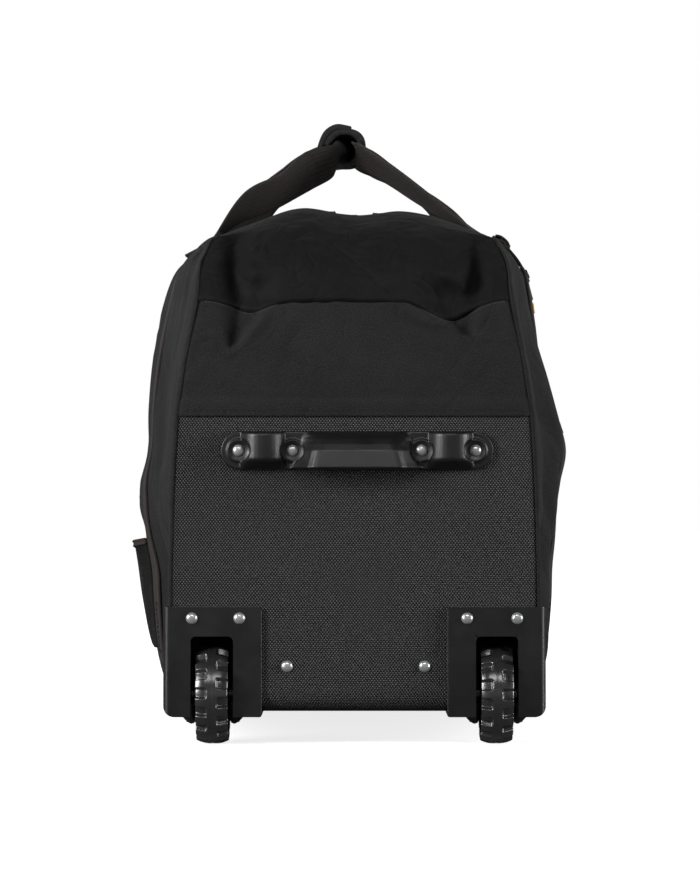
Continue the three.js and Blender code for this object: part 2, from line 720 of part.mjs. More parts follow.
// Carry straps: up each side, free to the wrap, through it and down again at the far end
function straps() {
  const legLevels = [2.7, 4.6, 6.2, 7, 8, 9, 10.6, 12, 13, 13.5];
  const legOffset = STRAP_THICK / 2 + 2.3;
  const steps = 54;
  for (const [name, side, run] of [
    ['strap_left', -1, STRAP_RUN_LEFT],
    ['strap_right', 1, STRAP_RUN_RIGHT],
  ]) {
    const legKey = (y, level) => ({
      point: sidePoint(side, y, level).addScaledVector(sideNormal(side, y, level), legOffset),
      across: sidePoint(side, y + 12, level).sub(sidePoint(side, y - 12, level)).normalize(),
      width: STRAP_WIDTH,
    });
    const runKey = (row, i) => {
      const before = run[Math.max(i - 1, 0)];
      const after = run[Math.min(i + 1, run.length - 1)];
      const along = vec(after.x - before.x, after.y - before.y, after.z - before.z).normalize();
      const turn = side < 0 ? row.turn : 180 - row.turn;
      return { point: vec(row.x, row.y, row.z), across: widthAtTurn(along, turn), width: row.width };
    };
    const keys = [
      ...legLevels.map((level) => legKey(STRAP_NEAR_Y, level)),
      ...run.map(runKey),
      ...legLevels.toReversed().map((level) => legKey(STRAP_FAR_Y, level)),
    ];
    const route = new THREE.CatmullRomCurve3(keys.map((key) => key.point), false, 'centripetal');
    const widths = new THREE.CatmullRomCurve3(keys.map((key) => key.across), false, 'centripetal');
    const places = [];
    for (let i = 0; i <= steps; i += 1) {
      const t = i / steps;
      places.push({
        point: route.getPoint(t),
        across: widths.getPoint(t),
        width: sample(keys, 'width', t * (keys.length - 1)),
      });
    }
    piece(name, band(places, STRAP_WIDTH, STRAP_THICK), 'webbing');
  }
}

// Rolled pad round the two straps: a wall that goes round once and overlaps itself on top
function handleWrap() {
  const halfLength = 70;
  const wallThick = 4.6;
  const hollowX = 13.4;
  const hollowZ = 13.8;
  const turns = 34;
  const startAngle = THREE.MathUtils.degToRad(70);
  const sweep = THREE.MathUtils.degToRad(440);
  const square = (value) => Math.sign(value) * Math.abs(value) ** 0.6;
  const ring = (extra) => {
    const points = [];
    for (let i = 0; i <= turns; i += 1) {
      const t = i / turns;
      const angle = startAngle + sweep * t;
      const lift = (wallThick + 0.6) * smooth(t, 0.72, 0.86) + extra;
      const across = square(Math.cos(angle));
      const up = square(Math.sin(angle));
      points.push(new THREE.Vector2((hollowX + lift) * across, (hollowZ + lift) * up));
    }
    return points;
  };
  const outline = new THREE.Shape([...ring(0), ...ring(wallThick).reverse()]);
  const wrap = crosswise(outline, -halfLength, 2 * halfLength);
  wrap.rotateX(THREE.MathUtils.degToRad(WRAP_TILT));
  piece('handle_wrap', wrap, 'webbing', WRAP);
}

// Plain webbing loop on the far end
function haulLoop() {
  const height = 262; // of its middle above the floor
  const flat = FAR_Y + 9.5; // its sewn ends lie on the swell of the far end
  const rows = table(
    ['x', 'out'],
    [[-95, 0], [-66, 0], [-48, 9], [-25, 15], [0, 17], [25, 15], [48, 9], [66, 0], [95, 0]],
  );
  const places = rows.map((row) => ({
    point: vec(row.x, flat + row.out, height),
    across: vec(0, 0, 1),
  }));
  piece('haul_loop', band(places, STRAP_WIDTH, STRAP_THICK), 'webbing');
}

// Moulded handle on the wheel-end panel: a plate with round ends, two humps and a hooded grip
function grabHandle() {
  const half = 109; // half length of the plate
  const radius = 15.2; // of its round ends
  const front = NEAR_Y - GAP;
  const plateShape = roundedRectangle(-half, -radius, half, radius, [radius, radius, radius, radius]);
  const plate = crosswise(plateShape, -PLATE_THICK, PLATE_THICK, 5);

  const humpRise = 14;
  const humpRing = (z, rise) =>
    [[-18, 0], [-13.5, 0.25], [-11.5, 0.85], [-9, 1], [9, 1], [11.5, 0.85], [13.5, 0.25], [18, 0]]
      .map(([x, share]) => vec(x, -PLATE_THICK + 0.5 - rise * share, z));
  const hump = loft([
    humpRing(radius - 0.3, humpRise),
    humpRing(-radius + 8.5, humpRise),
    humpRing(-radius + 0.3, 1.2),
  ]);

  const gripRing = (z, reach, halfTop, inner) => {
    const slope = 17;
    const back = inner ? -PLATE_THICK + 0.3 : -PLATE_THICK + 0.6;
    return [[-1, 0, 0], [-1, 6, 0.28], [-1, slope - 3, 0.92], [-1, slope, 1],
      [1, slope, 1], [1, slope - 3, 0.92], [1, 6, 0.28], [1, 0, 0]]
      .map(([sign, step, share]) => vec(sign * (halfTop - step), back - reach * share, z));
  };
  const hood = loft([
    gripRing(radius - 0.5, 3, 44, false),
    gripRing(radius - 6, 12, 47, false),
    gripRing(0, 18.5, 51, false),
    gripRing(-radius + 1, 21.5, 55, false),
  ]);
  const hollow = loft([
    gripRing(radius - 7, 7, 40, true),
    gripRing(0, 14.5, 45, true),
    gripRing(-radius - 3, 18.5, 51, true),
  ]);
  const seatRadius = 9.6;
  const seatDeep = 40;
  const seats = RIVETS.slice(0, 4).map((row) =>
    new THREE.CylinderGeometry(seatRadius, seatRadius, seatDeep, 10)
      .translate(row.x - HANDLE_X, 2 - PLATE_THICK - seatDeep / 2, 0));
  const humpX = 75;
  const humps = [-humpX, humpX].map((x) => hump.clone().translate(x, 0, 0));
  const raised = cut(join(hood, ...humps), seats);
  const body = cut(join(plate, raised), [hollow]).translate(HANDLE_X, front, HANDLE_Z);
  piece('grab_handle', cut(body, rivetHoles.slice(0, 4)), 'plastic');
}

// Moulded wheel corners: a front plate that wraps the outer side and the base, with the wheel's well
function housings() {
  const inner = 74; // edges of the front plate, from the middle of the bag
  const outer = 153;
  const low = 22.6;
  const top = 110.5;
  const depth = 58; // how far the outer side and the base plate run back
  const sideWall = 2.8;
  const past = 40; // overrun of the tools that cut the corner hollow
  const cheekRadius = 23; // lobes that hold the axle below the base
  const axleHoleRadius = 3.4;
  const face = NEAR_Y - PLATE_THICK - GAP;
  const wellFoot = BASE_RISE - 1.5;
  for (const [name, side] of [['housing_left', -1], ['housing_right', 1]]) {
    const xs = [side * inner, side * outer].sort((a, b) => a - b);
    const corners = side < 0 ? [9, 2, 4, 2] : [2, 9, 2, 4];
    const frontBlock = crosswise(roundedRectangle(xs[0], low, xs[1], top, corners), face, depth);
    const planCorner = side < 0 ? [5, 1, 1, 1] : [1, 5, 1, 1];
    const planShape = roundedRectangle(xs[0], face, xs[1], face + depth, planCorner);
    const planBlock = new THREE.ExtrudeGeometry(planShape, {
      depth: top + past,
      bevelEnabled: false,
      curveSegments: 4,
    });
    const shell = overlap(frontBlock, planBlock);
    const roomXs = [side * (inner - past), side * (outer - sideWall)].sort((a, b) => a - b);
    const room = block(
      vec(roomXs[0], NEAR_Y - GAP, BASE_RISE - GAP - 0.1),
      vec(roomXs[1], NEAR_Y + depth + past, top + past),
    );
    const corner = cut(shell, [room]);

    const centreX = side * WHEEL_X;
    const wellProfile = (radius, start, foot) => {
      const shape = new THREE.Shape();
      shape.moveTo(start, foot);
      shape.lineTo(start, AXLE_HEIGHT + radius);
      shape.lineTo(WHEEL_Y, AXLE_HEIGHT + radius);
      shape.absarc(WHEEL_Y, AXLE_HEIGHT, radius, Math.PI / 2, 0, true);
      shape.lineTo(WHEEL_Y + radius, foot);
      return shape;
    };
    const wellBody = lengthwise(
      wellProfile(WELL_RADIUS + WELL_WALL, NEAR_Y - 1, wellFoot),
      centreX - wellOuter,
      2 * wellOuter,
    );
    const lobe = new THREE.Shape();
    lobe.absarc(WHEEL_Y, AXLE_HEIGHT, cheekRadius, 0, 2 * Math.PI, false);
    const cheeks = lengthwise(lobe, centreX - wellOuter, 2 * wellOuter);
    const inside = lengthwise(
      wellProfile(WELL_RADIUS, NEAR_Y - past, 0),
      centreX - SLOT_WIDTH / 2,
      SLOT_WIDTH,
    );
    const axleHole = new THREE.CylinderGeometry(axleHoleRadius, axleHoleRadius, 2 * past, 8)
      .rotateZ(Math.PI / 2)
      .translate(centreX, WHEEL_Y, AXLE_HEIGHT);
    const body = cut(join(corner, wellBody, cheeks), [inside, axleHole]);
    piece(name, cut(body, rivetHoles.slice(6)), 'plastic');
  }
}

// Wheels: moulded in one piece, with two staggered rows of pockets in the tread
function wheels() {
  const sides = 32;
  const half = WHEEL_WIDTH / 2;
  const apothem = Math.cos(Math.PI / sides);
  const rim = AXLE_HEIGHT / apothem;
  const bore = 3.5;
  const shoulder = 0.93 * rim;
  const profile = [
    [bore, -half + 1], [shoulder, -half], [rim, -half + 5], [rim, half - 5], [shoulder, half],
    [bore, half - 1], [bore, -half + 1],
  ];
  const tyre = new THREE.LatheGeometry(profile.map(([r, x]) => new THREE.Vector2(r, x)), sides);
  tyre.rotateZ(-Math.PI / 2).rotateX(Math.PI / sides);
  const pockets = [];
  const pocketWide = 9;
  const pocketLong = 7;
  const pocketDeep = 3.2;
  for (let i = 0; i < sides; i += 1) {
    const side = i % 2 === 0 ? -1 : 1;
    const angle = (2 * Math.PI * (i + 0.5)) / sides;
    const notch = new THREE.BoxGeometry(pocketWide, pocketLong, 2 * pocketDeep + 2)
      .translate(side * (half + 0.5 - pocketWide / 2), 0, rim + 1)
      .rotateX(angle);
    pockets.push(notch);
  }
  const wheel = cut(tyre, pockets);
  const [pin, pinHead, pinEnd, headStart] = [3, 5.5, 24, 22];
  const axle = new THREE.LatheGeometry(
    [
      [0, -pinEnd], [pinHead, -pinEnd], [pinHead, -headStart], [pin, -headStart],
      [pin, headStart], [pinHead, headStart], [pinHead, pinEnd], [0, pinEnd],
    ].map(([r, x]) => new THREE.Vector2(r, x)),
    8,
  ).rotateZ(Math.PI / 2);
  for (const [name, side] of [['left', -1], ['right', 1]]) {
    const place = vec(side * WHEEL_X, WHEEL_Y, AXLE_HEIGHT);
    piece(`wheel_${name}`, wheel.clone(), 'tyre', place);
    piece(`axle_${name}`, axle.clone(), 'zinc', place);
  }
}

baseAndEnds();
sides();
topAndZip();
sideZip();
pocket();
straps();
handleWrap();
haulLoop();
grabHandle();
rivets();
housings();
wheels();

export default bag;
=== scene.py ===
"""Dresses a soft holdall with two wheels: cloth walls, webbing, mouldings, wheels and a plain stage."""
import math
from collections import namedtuple

import bmesh
import bpy
from mathutils import Matrix, Vector, noise


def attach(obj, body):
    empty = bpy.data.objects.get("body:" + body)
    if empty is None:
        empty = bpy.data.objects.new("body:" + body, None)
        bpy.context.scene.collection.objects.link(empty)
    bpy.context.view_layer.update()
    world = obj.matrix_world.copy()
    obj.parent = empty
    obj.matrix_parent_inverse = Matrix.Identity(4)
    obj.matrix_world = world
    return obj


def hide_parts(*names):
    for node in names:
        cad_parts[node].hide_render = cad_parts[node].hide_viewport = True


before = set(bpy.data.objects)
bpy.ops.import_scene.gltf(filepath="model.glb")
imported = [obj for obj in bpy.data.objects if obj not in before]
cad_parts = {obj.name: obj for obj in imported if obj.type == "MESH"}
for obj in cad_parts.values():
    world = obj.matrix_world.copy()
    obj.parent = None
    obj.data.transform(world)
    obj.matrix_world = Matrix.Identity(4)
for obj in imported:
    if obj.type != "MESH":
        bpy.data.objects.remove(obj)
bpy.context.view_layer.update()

bl_info = {
    "name": "Wheeled holdall",
    "version": (1, 0, 0),
    "blender": (4, 5, 0),
    "location": "View3D > Sidebar > Holdall",
    "description": "Builds the cloth, webbing and mouldings of a wheeled holdall round its frame",
    "category": "Object",
}

MM = 0.001

# The bag's main sizes, in millimetres, as in its solids
LENGTH = 780.0
NEAR_Y = -393.0
FAR_Y = NEAR_Y + LENGTH
SEAM = 0.9
AXLE_HEIGHT = 40.0
CORNER_DEPTH = 76.0
CORNER_TOP = 108.0
FILL_POWER = 2.6
BASE_RISE = 26.4
BASE_LEVEL = 75.0
REST_START = 170.0
WEAVE_TOP = 237.6
SEAM_TOP = 331.0
WHEEL_X = 114.0
WHEEL_Y = NEAR_Y + 22.5
WELL_HALF = 21.7
WELL_BACK = WHEEL_Y + 51.7
WELL_ROOF = 92.7
STRAP_NEAR_Y = -240.0
STRAP_FAR_Y = 262.0
HANDLE_X = 2.0
HANDLE_Z = 235.5
PLATE_THICK = 3.2
PLATE_FACE = NEAR_Y - 0.3
WRAP = Vector((-7.6, 0.0, 517.9))
WRAP_TILT = 5.6
ZIP_START = 4.2
ZIP_HALF = 14.0
SIDE_ZIP_LOW = 8.4
SIDE_ZIP_TOP = 12.6
SIDE_ZIP_Y = 196.0
SIDE_ZIP_TURN = 60.0
SIDE_SLIDER_AT = -0.62
POCKET_HALF = 210.0
POCKET_LOW = 3.1
POCKET_TOP = 5.35
POCKET_GAPE = 9.0
POCKET_REST = 6.4
INSIDE = Vector((0, 0, 200))
STRAP_WIDTH = 38.0
PANEL_WIDTH = 296.0
END_WIDTH = 260.0
TOP_RUN = 900.0
SIDE_ZIP_WIDTH = 22.0
TOOTH = (1.15, 3.4, 1.5)
SLIDER_BODY = (14.0, 9.0, 3.4)
SLIDER_BRIDGE = (8.0, 2.6, 1.6)
THREAD_HALF = (0.42, 0.36)

# Thicknesses of tapes, in metres
MAIN_TAPE_THICK = 0.0012
SIDE_TAPE_THICK = 0.001
BINDING_THICK = 0.0014

# Outline of the sides from the base seam to the shoulder seam
Level = namedtuple("Level", "end_height end_half setback mid_height mid_left mid_right")
LEVELS = [
    Level(0, 137, 16, 0, 141, 141),
    Level(4, 143, 5.4, 3.5, 150, 150),
    Level(16, 148.5, 0, 16, 163, 161),
    Level(45, 149.5, 0, 46, 174, 170),
    Level(90, 149.5, 0, 92, 181, 177),
    Level(128, 149, 0, 130, 184, 177.5),
    Level(163, 148, 0, 166, 186, 177.5),
    Level(187, 147, 0, 190, 187, 181.5),
    Level(214, 145.5, 0, 220, 180, 188),
    Level(246, 143, 0, 256, 178.5, 176),
    Level(284, 137, 1.5, 292, 175, 163),
    Level(331, 127, 6, 330, 168, 158.5),
    Level(352, 123, 22, 366, 157.5, 152.5),
    Level(366, 120, 40, 385, 140, 138),
    Level(379, 117, 46, 394, 127, 121),
]
LAST = len(LEVELS) - 1

# Stations of the top from the end seam to mid length
Station = namedtuple("Station", "centre_set centre_height edge_set edge_level")
TOP = [
    Station(4, 331, 6, 11),
    Station(13, 353, 22, 12),
    Station(30, 376, 40, 13),
    Station(58, 394, 46, 14),
    Station(100, 406, 100, 14),
    Station(170, 416, 170, 14),
    Station(270, 420, 270, 14),
    Station(390, 422, 390, 14),
]
TOP_HALF = len(TOP) - 1

SideFold = namedtuple("SideFold", "side y height width_y width_z depth")
SIDE_FOLDS = [
    SideFold(-1, -330, 260, 26, 130, -7),
    SideFold(-1, -150, 300, 40, 90, 2),
    SideFold(-1, 90, 250, 60, 110, -5),
    SideFold(-1, 300, 240, 30, 140, -7),
    SideFold(1, -325, 270, 28, 120, -7),
    SideFold(1, -60, 160, 90, 16, -5),
    SideFold(1, 120, 300, 50, 80, -4),
    SideFold(1, 310, 230, 30, 140, -7),
]

EndFold = namedtuple("EndFold", "x height width_x width_z depth")
END_FOLDS = [
    EndFold(-98, 362, 10, 36, 25),
    EndFold(99, 358, 10, 34, 25),
    EndFold(-30, 352, 46, 20, -6),
    EndFold(52, 348, 30, 16, -6),
    EndFold(0, 280, 90, 40, -3),
]

Pinch = namedtuple("Pinch", "x dip half_width tip_x tip_height depth")
PINCHES = [
    Pinch(-84, 10, 20, -99, 287, 9),
    Pinch(77, 17, 24, 94, 296, 10),
]

# Sharp ridges in the cloth of the wheel end, as places across and heights, with a width and a rise
Ridge = namedtuple("Ridge", "points width rise")
RIDGES = [
    Ridge(((-112, 302), (-99, 288), (-86, 300), (-70, 317)), 4.5, 2.6),
    Ridge(((41, 322), (50, 315), (76, 309), (89, 301), (103, 300)), 4.5, 2.8),
    Ridge(((-68, 384), (-50, 391), (-33, 394)), 5.0, 2.2),
    Ridge(((36, 363), (62, 355), (88, 343)), 6.0, 2.6),
    Ridge(((76, 390), (97, 387)), 5.0, 2.6),
    Ridge(((-82, 352), (-60, 362), (-40, 376)), 8.0, 1.8),
    Ridge(((8, 372), (30, 380), (58, 381)), 7.0, 1.8),
    Ridge(((-20, 338), (4, 347), (34, 345)), 7.0, 1.4),
]

# Free run of each carry strap from the near shoulder through the wrap to the far shoulder
Run = namedtuple("Run", "x y z turn width")
STRAP_RUNS = {
    -1: [
        Run(-124.5, -229, 413, 206, 38),
        Run(-96, -205, 446, 230, 38),
        Run(-67, -165, 463, 239, 38),
        Run(-40, -120, 486, 260, 36),
        Run(-19.6, -92, 498, 267, 29),
        Run(-15, -74, 507, 270, 18),
        Run(-3.4, 0, 517.4, 270, 20.5),
        Run(-13.8, 74, 524.6, 270, 20.5),
        Run(-31, 102, 516, 300, 31),
        Run(-52, 130, 507, 338, 38),
        Run(-72, 160, 497, 346, 38),
        Run(-92, 190, 484, 350, 38),
        Run(-107, 220, 461, 354, 38),
        Run(-117, 243, 431, 358, 38),
    ],
    1: [
        Run(114, -230, 417, 190, 38),
        Run(86, -205, 438, 211, 38),
        Run(50, -165, 467.5, 225, 38),
        Run(25, -120, 489.5, 231, 36),
        Run(9, -92, 502, 245, 28),
        Run(2, -74, 507, 270, 18),
        Run(1.6, 0, 517.4, 270, 20.5),
        Run(-1.4, 74, 524, 270, 20.5),
        Run(25, 102, 508, 338, 26),
        Run(48, 130, 495, 368, 34),
        Run(68, 160, 486, 372, 38),
        Run(87, 190, 474, 372, 38),
        Run(103, 220, 456, 366, 38),
        Run(116.5, 246, 429, 358, 38),
    ],
}
LEG_OFFSET = 0.6
LEG_LEVELS = (2.7, 4.6, 6.2, 7, 8, 9, 10.6, 12, 13, 13.5)

# Rivets as a place across, a height and the thickness under the head
SEAT_PLACES = (-94.8, -51.6, 51.6, 94.8)
RIVETS = {
    **{f"handle_rivet_{number}": (HANDLE_X + place, HANDLE_Z, PLATE_THICK)
       for number, place in enumerate(SEAT_PLACES, 1)},
    "panel_rivet_left": (-54, 63, 0),
    "panel_rivet_right": (56, 63, 0),
    "housing_rivet_left_outer": (-130, 101.5, PLATE_THICK),
    "housing_rivet_left_inner": (-92, 101.5, PLATE_THICK),
    "housing_rivet_right_inner": (90, 101.5, PLATE_THICK),
    "housing_rivet_right_outer": (130, 101.5, PLATE_THICK),
}


# Sizes and colours that a user may change

def length_prop(name, description, default):
    return bpy.props.FloatProperty(
        name=name, description=description, default=default, min=0.0, unit="LENGTH")


def colour_prop(name, description, default):
    return bpy.props.FloatVectorProperty(
        name=name, description=description, default=default, size=3, min=0.0, max=1.0, subtype="COLOR")


class HoldallSizes(bpy.types.PropertyGroup):
    """Thicknesses and small sizes of the dressed bag"""
    canvas: length_prop("Canvas", "Thickness of the canvas walls", 0.0016)
    panel: length_prop("Panel", "Thickness of the stiff woven panels", 0.0026)
    strap: length_prop("Strap", "Thickness of the carry straps", 0.0022)
    wrap: length_prop("Wrap", "Thickness of the rolled pad", 0.0056)
    wheel_radius: length_prop("Wheel radius", "Radius of the tyres", 0.04)
    wheel_half: length_prop("Half wheel", "Half the width of a tyre", 0.013)
    tread_depth: length_prop("Tread depth", "Depth of the pockets in the tread", 0.0042)
    rivet_radius: length_prop("Rivet head", "Radius of a rivet's head", 0.0047)
    stitch: length_prop("Stitch", "Length of one stitch", 0.0034)
    tooth_pitch: length_prop("Tooth pitch", "Distance between the teeth of a zip", 0.0026)


class HoldallColours(bpy.types.PropertyGroup):
    """Colours of the bag's finishes"""
    canvas: colour_prop("Canvas", "Coated canvas of the walls", (0.021, 0.021, 0.0215))
    # The top and the side pocket take a colour about a third as bright as the walls' canvas.
    top: colour_prop("Top", "Smoother canvas of the top", (0.0062, 0.0062, 0.0064))
    # The weave's colour is scaled up on its crowns as a painted highlight and almost to black in its gaps
    # as painted shade.
    weave: colour_prop("Woven panel", "Crowns of the coarse basket weave", (0.075, 0.075, 0.076))
    webbing: colour_prop("Webbing", "Carry straps and haul loop", (0.037, 0.031, 0.029))
    pad: colour_prop("Pad", "Rolled wrap of the straps", (0.026, 0.0245, 0.024))
    # Also given to the right strap's gathered fold, lighter than its webbing, to paint light on the folds.
    binding: colour_prop("Binding", "Edge tape of the pocket", (0.055, 0.043, 0.036))
    moulding: colour_prop("Moulding", "Moulded handle and wheel corners", (0.0048, 0.0048, 0.005))
    tyre: colour_prop("Tyre", "Moulded wheels", (0.019, 0.019, 0.0194))
    zinc: colour_prop("Zinc", "Rivets and axle pins", (0.6, 0.61, 0.62))
    zip: colour_prop("Zip", "Zip tape and teeth", (0.01, 0.01, 0.0102))
    pull_tip: colour_prop("Pull tip", "Tip of the side zip's pull", (0.78, 0.4, 0.012))
    thread: colour_prop("Thread", "Sewing thread", (0.017, 0.017, 0.0172))
    # A lighter thread that paints a highlight along the wheel end's upper seam, together with its frayed
    # rub.
    seam_thread: colour_prop(
        "Seam thread", "Rubbed edge of the wheel end's upper seam", (0.075, 0.073, 0.07))


# Arithmetic

def lerp(a, b, t):
    return a + (b - a) * t


def clamp(value, low=0.0, high=1.0):
    return min(max(value, low), high)


def smooth(value, low, high):
    t = clamp((value - low) / (high - low))
    return t * t * (3 - 2 * t)


def bump(distance, width):
    return math.exp(-((distance / width) ** 2))


def sample(rows, column, place):
    """Value of a column between rows, on a smooth curve through them."""
    i = int(clamp(math.floor(place), 0, len(rows) - 2))
    t = place - i

    def at(k):
        return getattr(rows[int(clamp(k, 0, len(rows) - 1))], column)

    slope_a = (at(i + 1) - at(i - 1)) / 2
    slope_b = (at(i + 2) - at(i)) / 2
    rise = at(i + 1) - at(i)
    return (at(i) + slope_a * (t ** 3 - 2 * t ** 2 + t) + slope_b * (t ** 3 - t ** 2)
            + rise * (3 * t ** 2 - 2 * t ** 3))


def level_at(height):
    low, high = 0.0, float(LAST)
    for _ in range(40):
        middle = (low + high) / 2
        if sample(LEVELS, "end_height", middle) < height:
            low = middle
        else:
            high = middle
    return low


def distance_to_line(x, z, points):
    """Distance in the plane from a point to a broken line."""
    best = 1e9
    for (ax, az), (bx, bz) in zip(points, points[1:]):
        dx, dz = bx - ax, bz - az
        t = clamp(((x - ax) * dx + (z - az) * dz) / (dx * dx + dz * dz))
        best = min(best, math.hypot(x - ax - t * dx, z - az - t * dz))
    return best


def curve_through(keys, t):
    """A point of a smooth curve through key points, at t from 0 to 1."""
    place = clamp(t) * (len(keys) - 1)
    i = min(int(place), len(keys) - 2)
    w = place - i
    p1, p2 = keys[i], keys[i + 1]
    p0 = keys[i - 1] if i > 0 else p1 * 2 - p2
    p3 = keys[i + 2] if i + 2 < len(keys) else p2 * 2 - p1
    d0, d1, d2 = (max((b - a).length, 1e-4) ** 0.5 for a, b in ((p0, p1), (p1, p2), (p2, p3)))
    t1 = ((p1 - p0) / d0 - (p2 - p0) / (d0 + d1) + (p2 - p1) / d1) * d1
    t2 = ((p2 - p1) / d1 - (p3 - p1) / (d1 + d2) + (p3 - p2) / d2) * d1
    return p1 + t1 * w + (-3 * p1 + 3 * p2 - 2 * t1 - t2) * w ** 2 + (2 * p1 - 2 * p2 + t1 + t2) * w ** 3


# The bag's surfaces, in millimetres

def base_z(y):
    start = NEAR_Y + BASE_LEVEL
    return BASE_RISE * (1 - clamp((y - start) / (REST_START - start)))


def fullness(y, height):
    from_end = min(y - NEAR_Y, FAR_Y - y)
    straight = CORNER_DEPTH * (1 - smooth(height, CORNER_TOP, CORNER_TOP + 62))
    s = clamp((from_end - straight) / (LENGTH / 2 - straight))
    return 1 - (1 - s) ** FILL_POWER


def side_point(side, y, level):
    mid_height = sample(LEVELS, "mid_height", level)
    full = fullness(y, mid_height)
    height = lerp(sample(LEVELS, "end_height", level), mid_height, full)
    column = "mid_left" if side < 0 else "mid_right"
    half = lerp(sample(LEVELS, "end_half", level), sample(LEVELS, column, level), full)
    for fold in SIDE_FOLDS:
        if fold.side == side:
            half += fold.depth * bump(y - fold.y, fold.width_y) * bump(height - fold.height, fold.width_z)
    return Vector((side * half, y, base_z(y) + height))


def side_normal(side, y, level):
    along = side_point(side, y + 2, level) - side_point(side, y - 2, level)
    up = side_point(side, y, level + 0.05) - side_point(side, y, level - 0.05)
    normal = along.cross(up).normalized()
    return normal if normal.x * side > 0 else -normal


def setback(level):
    return max(sample(LEVELS, "setback", level), 0.0)


def end_dent(x, height):
    dent = 0.0
    for fold in END_FOLDS:
        dent += fold.depth * bump(x - fold.x, fold.width_x) * bump(height - fold.height, fold.width_z)
    for pinch in PINCHES:
        rise = clamp((height - pinch.tip_height) / (SEAM_TOP - pinch.tip_height))
        middle = lerp(pinch.tip_x, pinch.x, rise)
        inside = clamp(1 - abs(x - middle) / (pinch.half_width * (0.25 + rise)))
        fade = 1 - smooth(height, SEAM_TOP, SEAM_TOP + 24)
        dent += pinch.depth * smooth(inside, 0, 0.8) * smooth(rise, 0, 0.25) * fade
    return dent


def end_ridges(x, height):
    return sum(row.rise * bump(distance_to_line(x, height, row.points), row.width) for row in RIDGES)


def seam_height(x):
    return SEAM_TOP - sum(row.dip * bump(x - row.x, row.half_width) for row in PINCHES)


def top_point(station, across):
    far = station > TOP_HALF
    place = 2 * TOP_HALF - station if far else station
    set_in = sample(TOP, "centre_set", place)
    edge_level = min(sample(TOP, "edge_level", place), LAST)
    edge_set = max(sample(TOP, "edge_set", place), setback(edge_level))
    edge_y = FAR_Y - edge_set if far else NEAR_Y + edge_set
    edge = side_point(-1 if across < 0 else 1, edge_y, edge_level)
    rise = smooth(place, 0, 3.2)
    x = across * (abs(edge.x) - 2 - SEAM)
    centre_y = FAR_Y - set_in if far else NEAR_Y + set_in
    fall = abs(across) ** lerp(5, 3.2, rise)
    lobes = rise * (8.5 if x < 0 else 4.5) * (bump(abs(x) - 46, 34) - bump(46, 34))
    height = lerp(sample(TOP, "centre_height", place) + lobes, edge.z - base_z(edge_y), fall)
    y = lerp(centre_y, edge_y, fall)
    if not far:
        on_end = 1 - smooth(place, 2.2, 4)
        height = lerp(height, seam_height(x) + SEAM, clamp(1 - place) * (1 - fall))
        y += (end_dent(x, height) - end_ridges(x, height)) * on_end * (1 - fall)
    return Vector((x, y, base_z(y) + height))


def side_zip_place(t):
    turn = clamp(abs(t) * 2 - 1) * math.pi / 2
    along = clamp(abs(t) * 2)
    run = (SIDE_ZIP_Y - SIDE_ZIP_TURN) * along + SIDE_ZIP_TURN * math.sin(turn)
    return math.copysign(run, t), lerp(SIDE_ZIP_TOP, SIDE_ZIP_LOW, 1 - math.cos(turn))


def ruffle(point, grain, seed):
    """Uneven relief of filled cloth, from about -1 to 1: broad swells with sharper creases on them."""
    shifted = point + Vector((seed, 2 * seed, -seed))
    broad = noise.noise(shifted / (2.4 * grain))
    crease = 0.5 - abs(noise.noise(shifted / grain)) * 1.6
    fine = noise.noise(shifted / (0.35 * grain))
    return 0.5 * broad + 0.42 * crease + 0.12 * fine


# Meshes

def run_lengths(points):
    """Distance from the first point to each point of a line."""
    lengths = [0.0]
    for a, b in zip(points, points[1:]):
        lengths.append(lengths[-1] + (b - a).length)
    return lengths


def cloth(columns, rows, place, relief=None):
    """A sheet of quads: place(u, v) gives each point, relief its rise; the map keeps true lengths."""
    bm = bmesh.new()
    run = bm.loops.layers.uv.new("run")
    bmesh.ops.create_grid(bm, x_segments=columns, y_segments=rows, size=0.5)
    spots = {vert: (vert.co.x + 0.5, vert.co.y + 0.5) for vert in bm.verts}
    across = run_lengths([place(i / columns, 0.5) for i in range(columns + 1)])
    along = run_lengths([place(0.5, j / rows) for j in range(rows + 1)])
    for face in bm.faces:
        for loop in face.loops:
            u, v = spots[loop.vert]
            loop[run].uv = (across[round(u * columns)] * MM, along[round(v * rows)] * MM)
    for vert, (u, v) in spots.items():
        vert.co = place(u, v)
    bm.normal_update()
    if relief:
        rises = {vert: relief(u, v, vert.co) for vert, (u, v) in spots.items()}
        for vert, rise in rises.items():
            vert.co += vert.normal * rise
        bm.normal_update()
    return bm


def face_away(bm, inside):
    """Turns a sheet so that its faces look away from a point inside the bag."""
    bm.normal_update()
    facing = sum((face.calc_center_median() - inside).dot(face.normal) for face in bm.faces)
    if facing < 0:
        bmesh.ops.reverse_faces(bm, faces=bm.faces)
    return bm


def frames_along(points, widths):
    """Along, across and face directions of a band at each of its points."""
    frames = []
    for i, point in enumerate(points):
        along = (points[min(i + 1, len(points) - 1)] - points[max(i - 1, 0)]).normalized()
        across = (widths[i] - along * widths[i].dot(along)).normalized()
        frames.append((point, along, across, along.cross(across)))
    return frames


def band(points, widths, width, columns=12, cup=None):
    """A ribbon along points; width is a number or one for each point, cup lifts it across its width."""
    frames = frames_along(points, widths)
    steps = len(points) - 1
    wide = width if isinstance(width, list) else [width] * len(points)

    def place(u, v):
        point, along, across, face = frames[round(u * steps)]
        offset = (v - 0.5) * wide[round(u * steps)]
        lift = cup(u, v) if cup else 0.0
        return point + across * offset + face * lift

    return cloth(steps, columns, place)


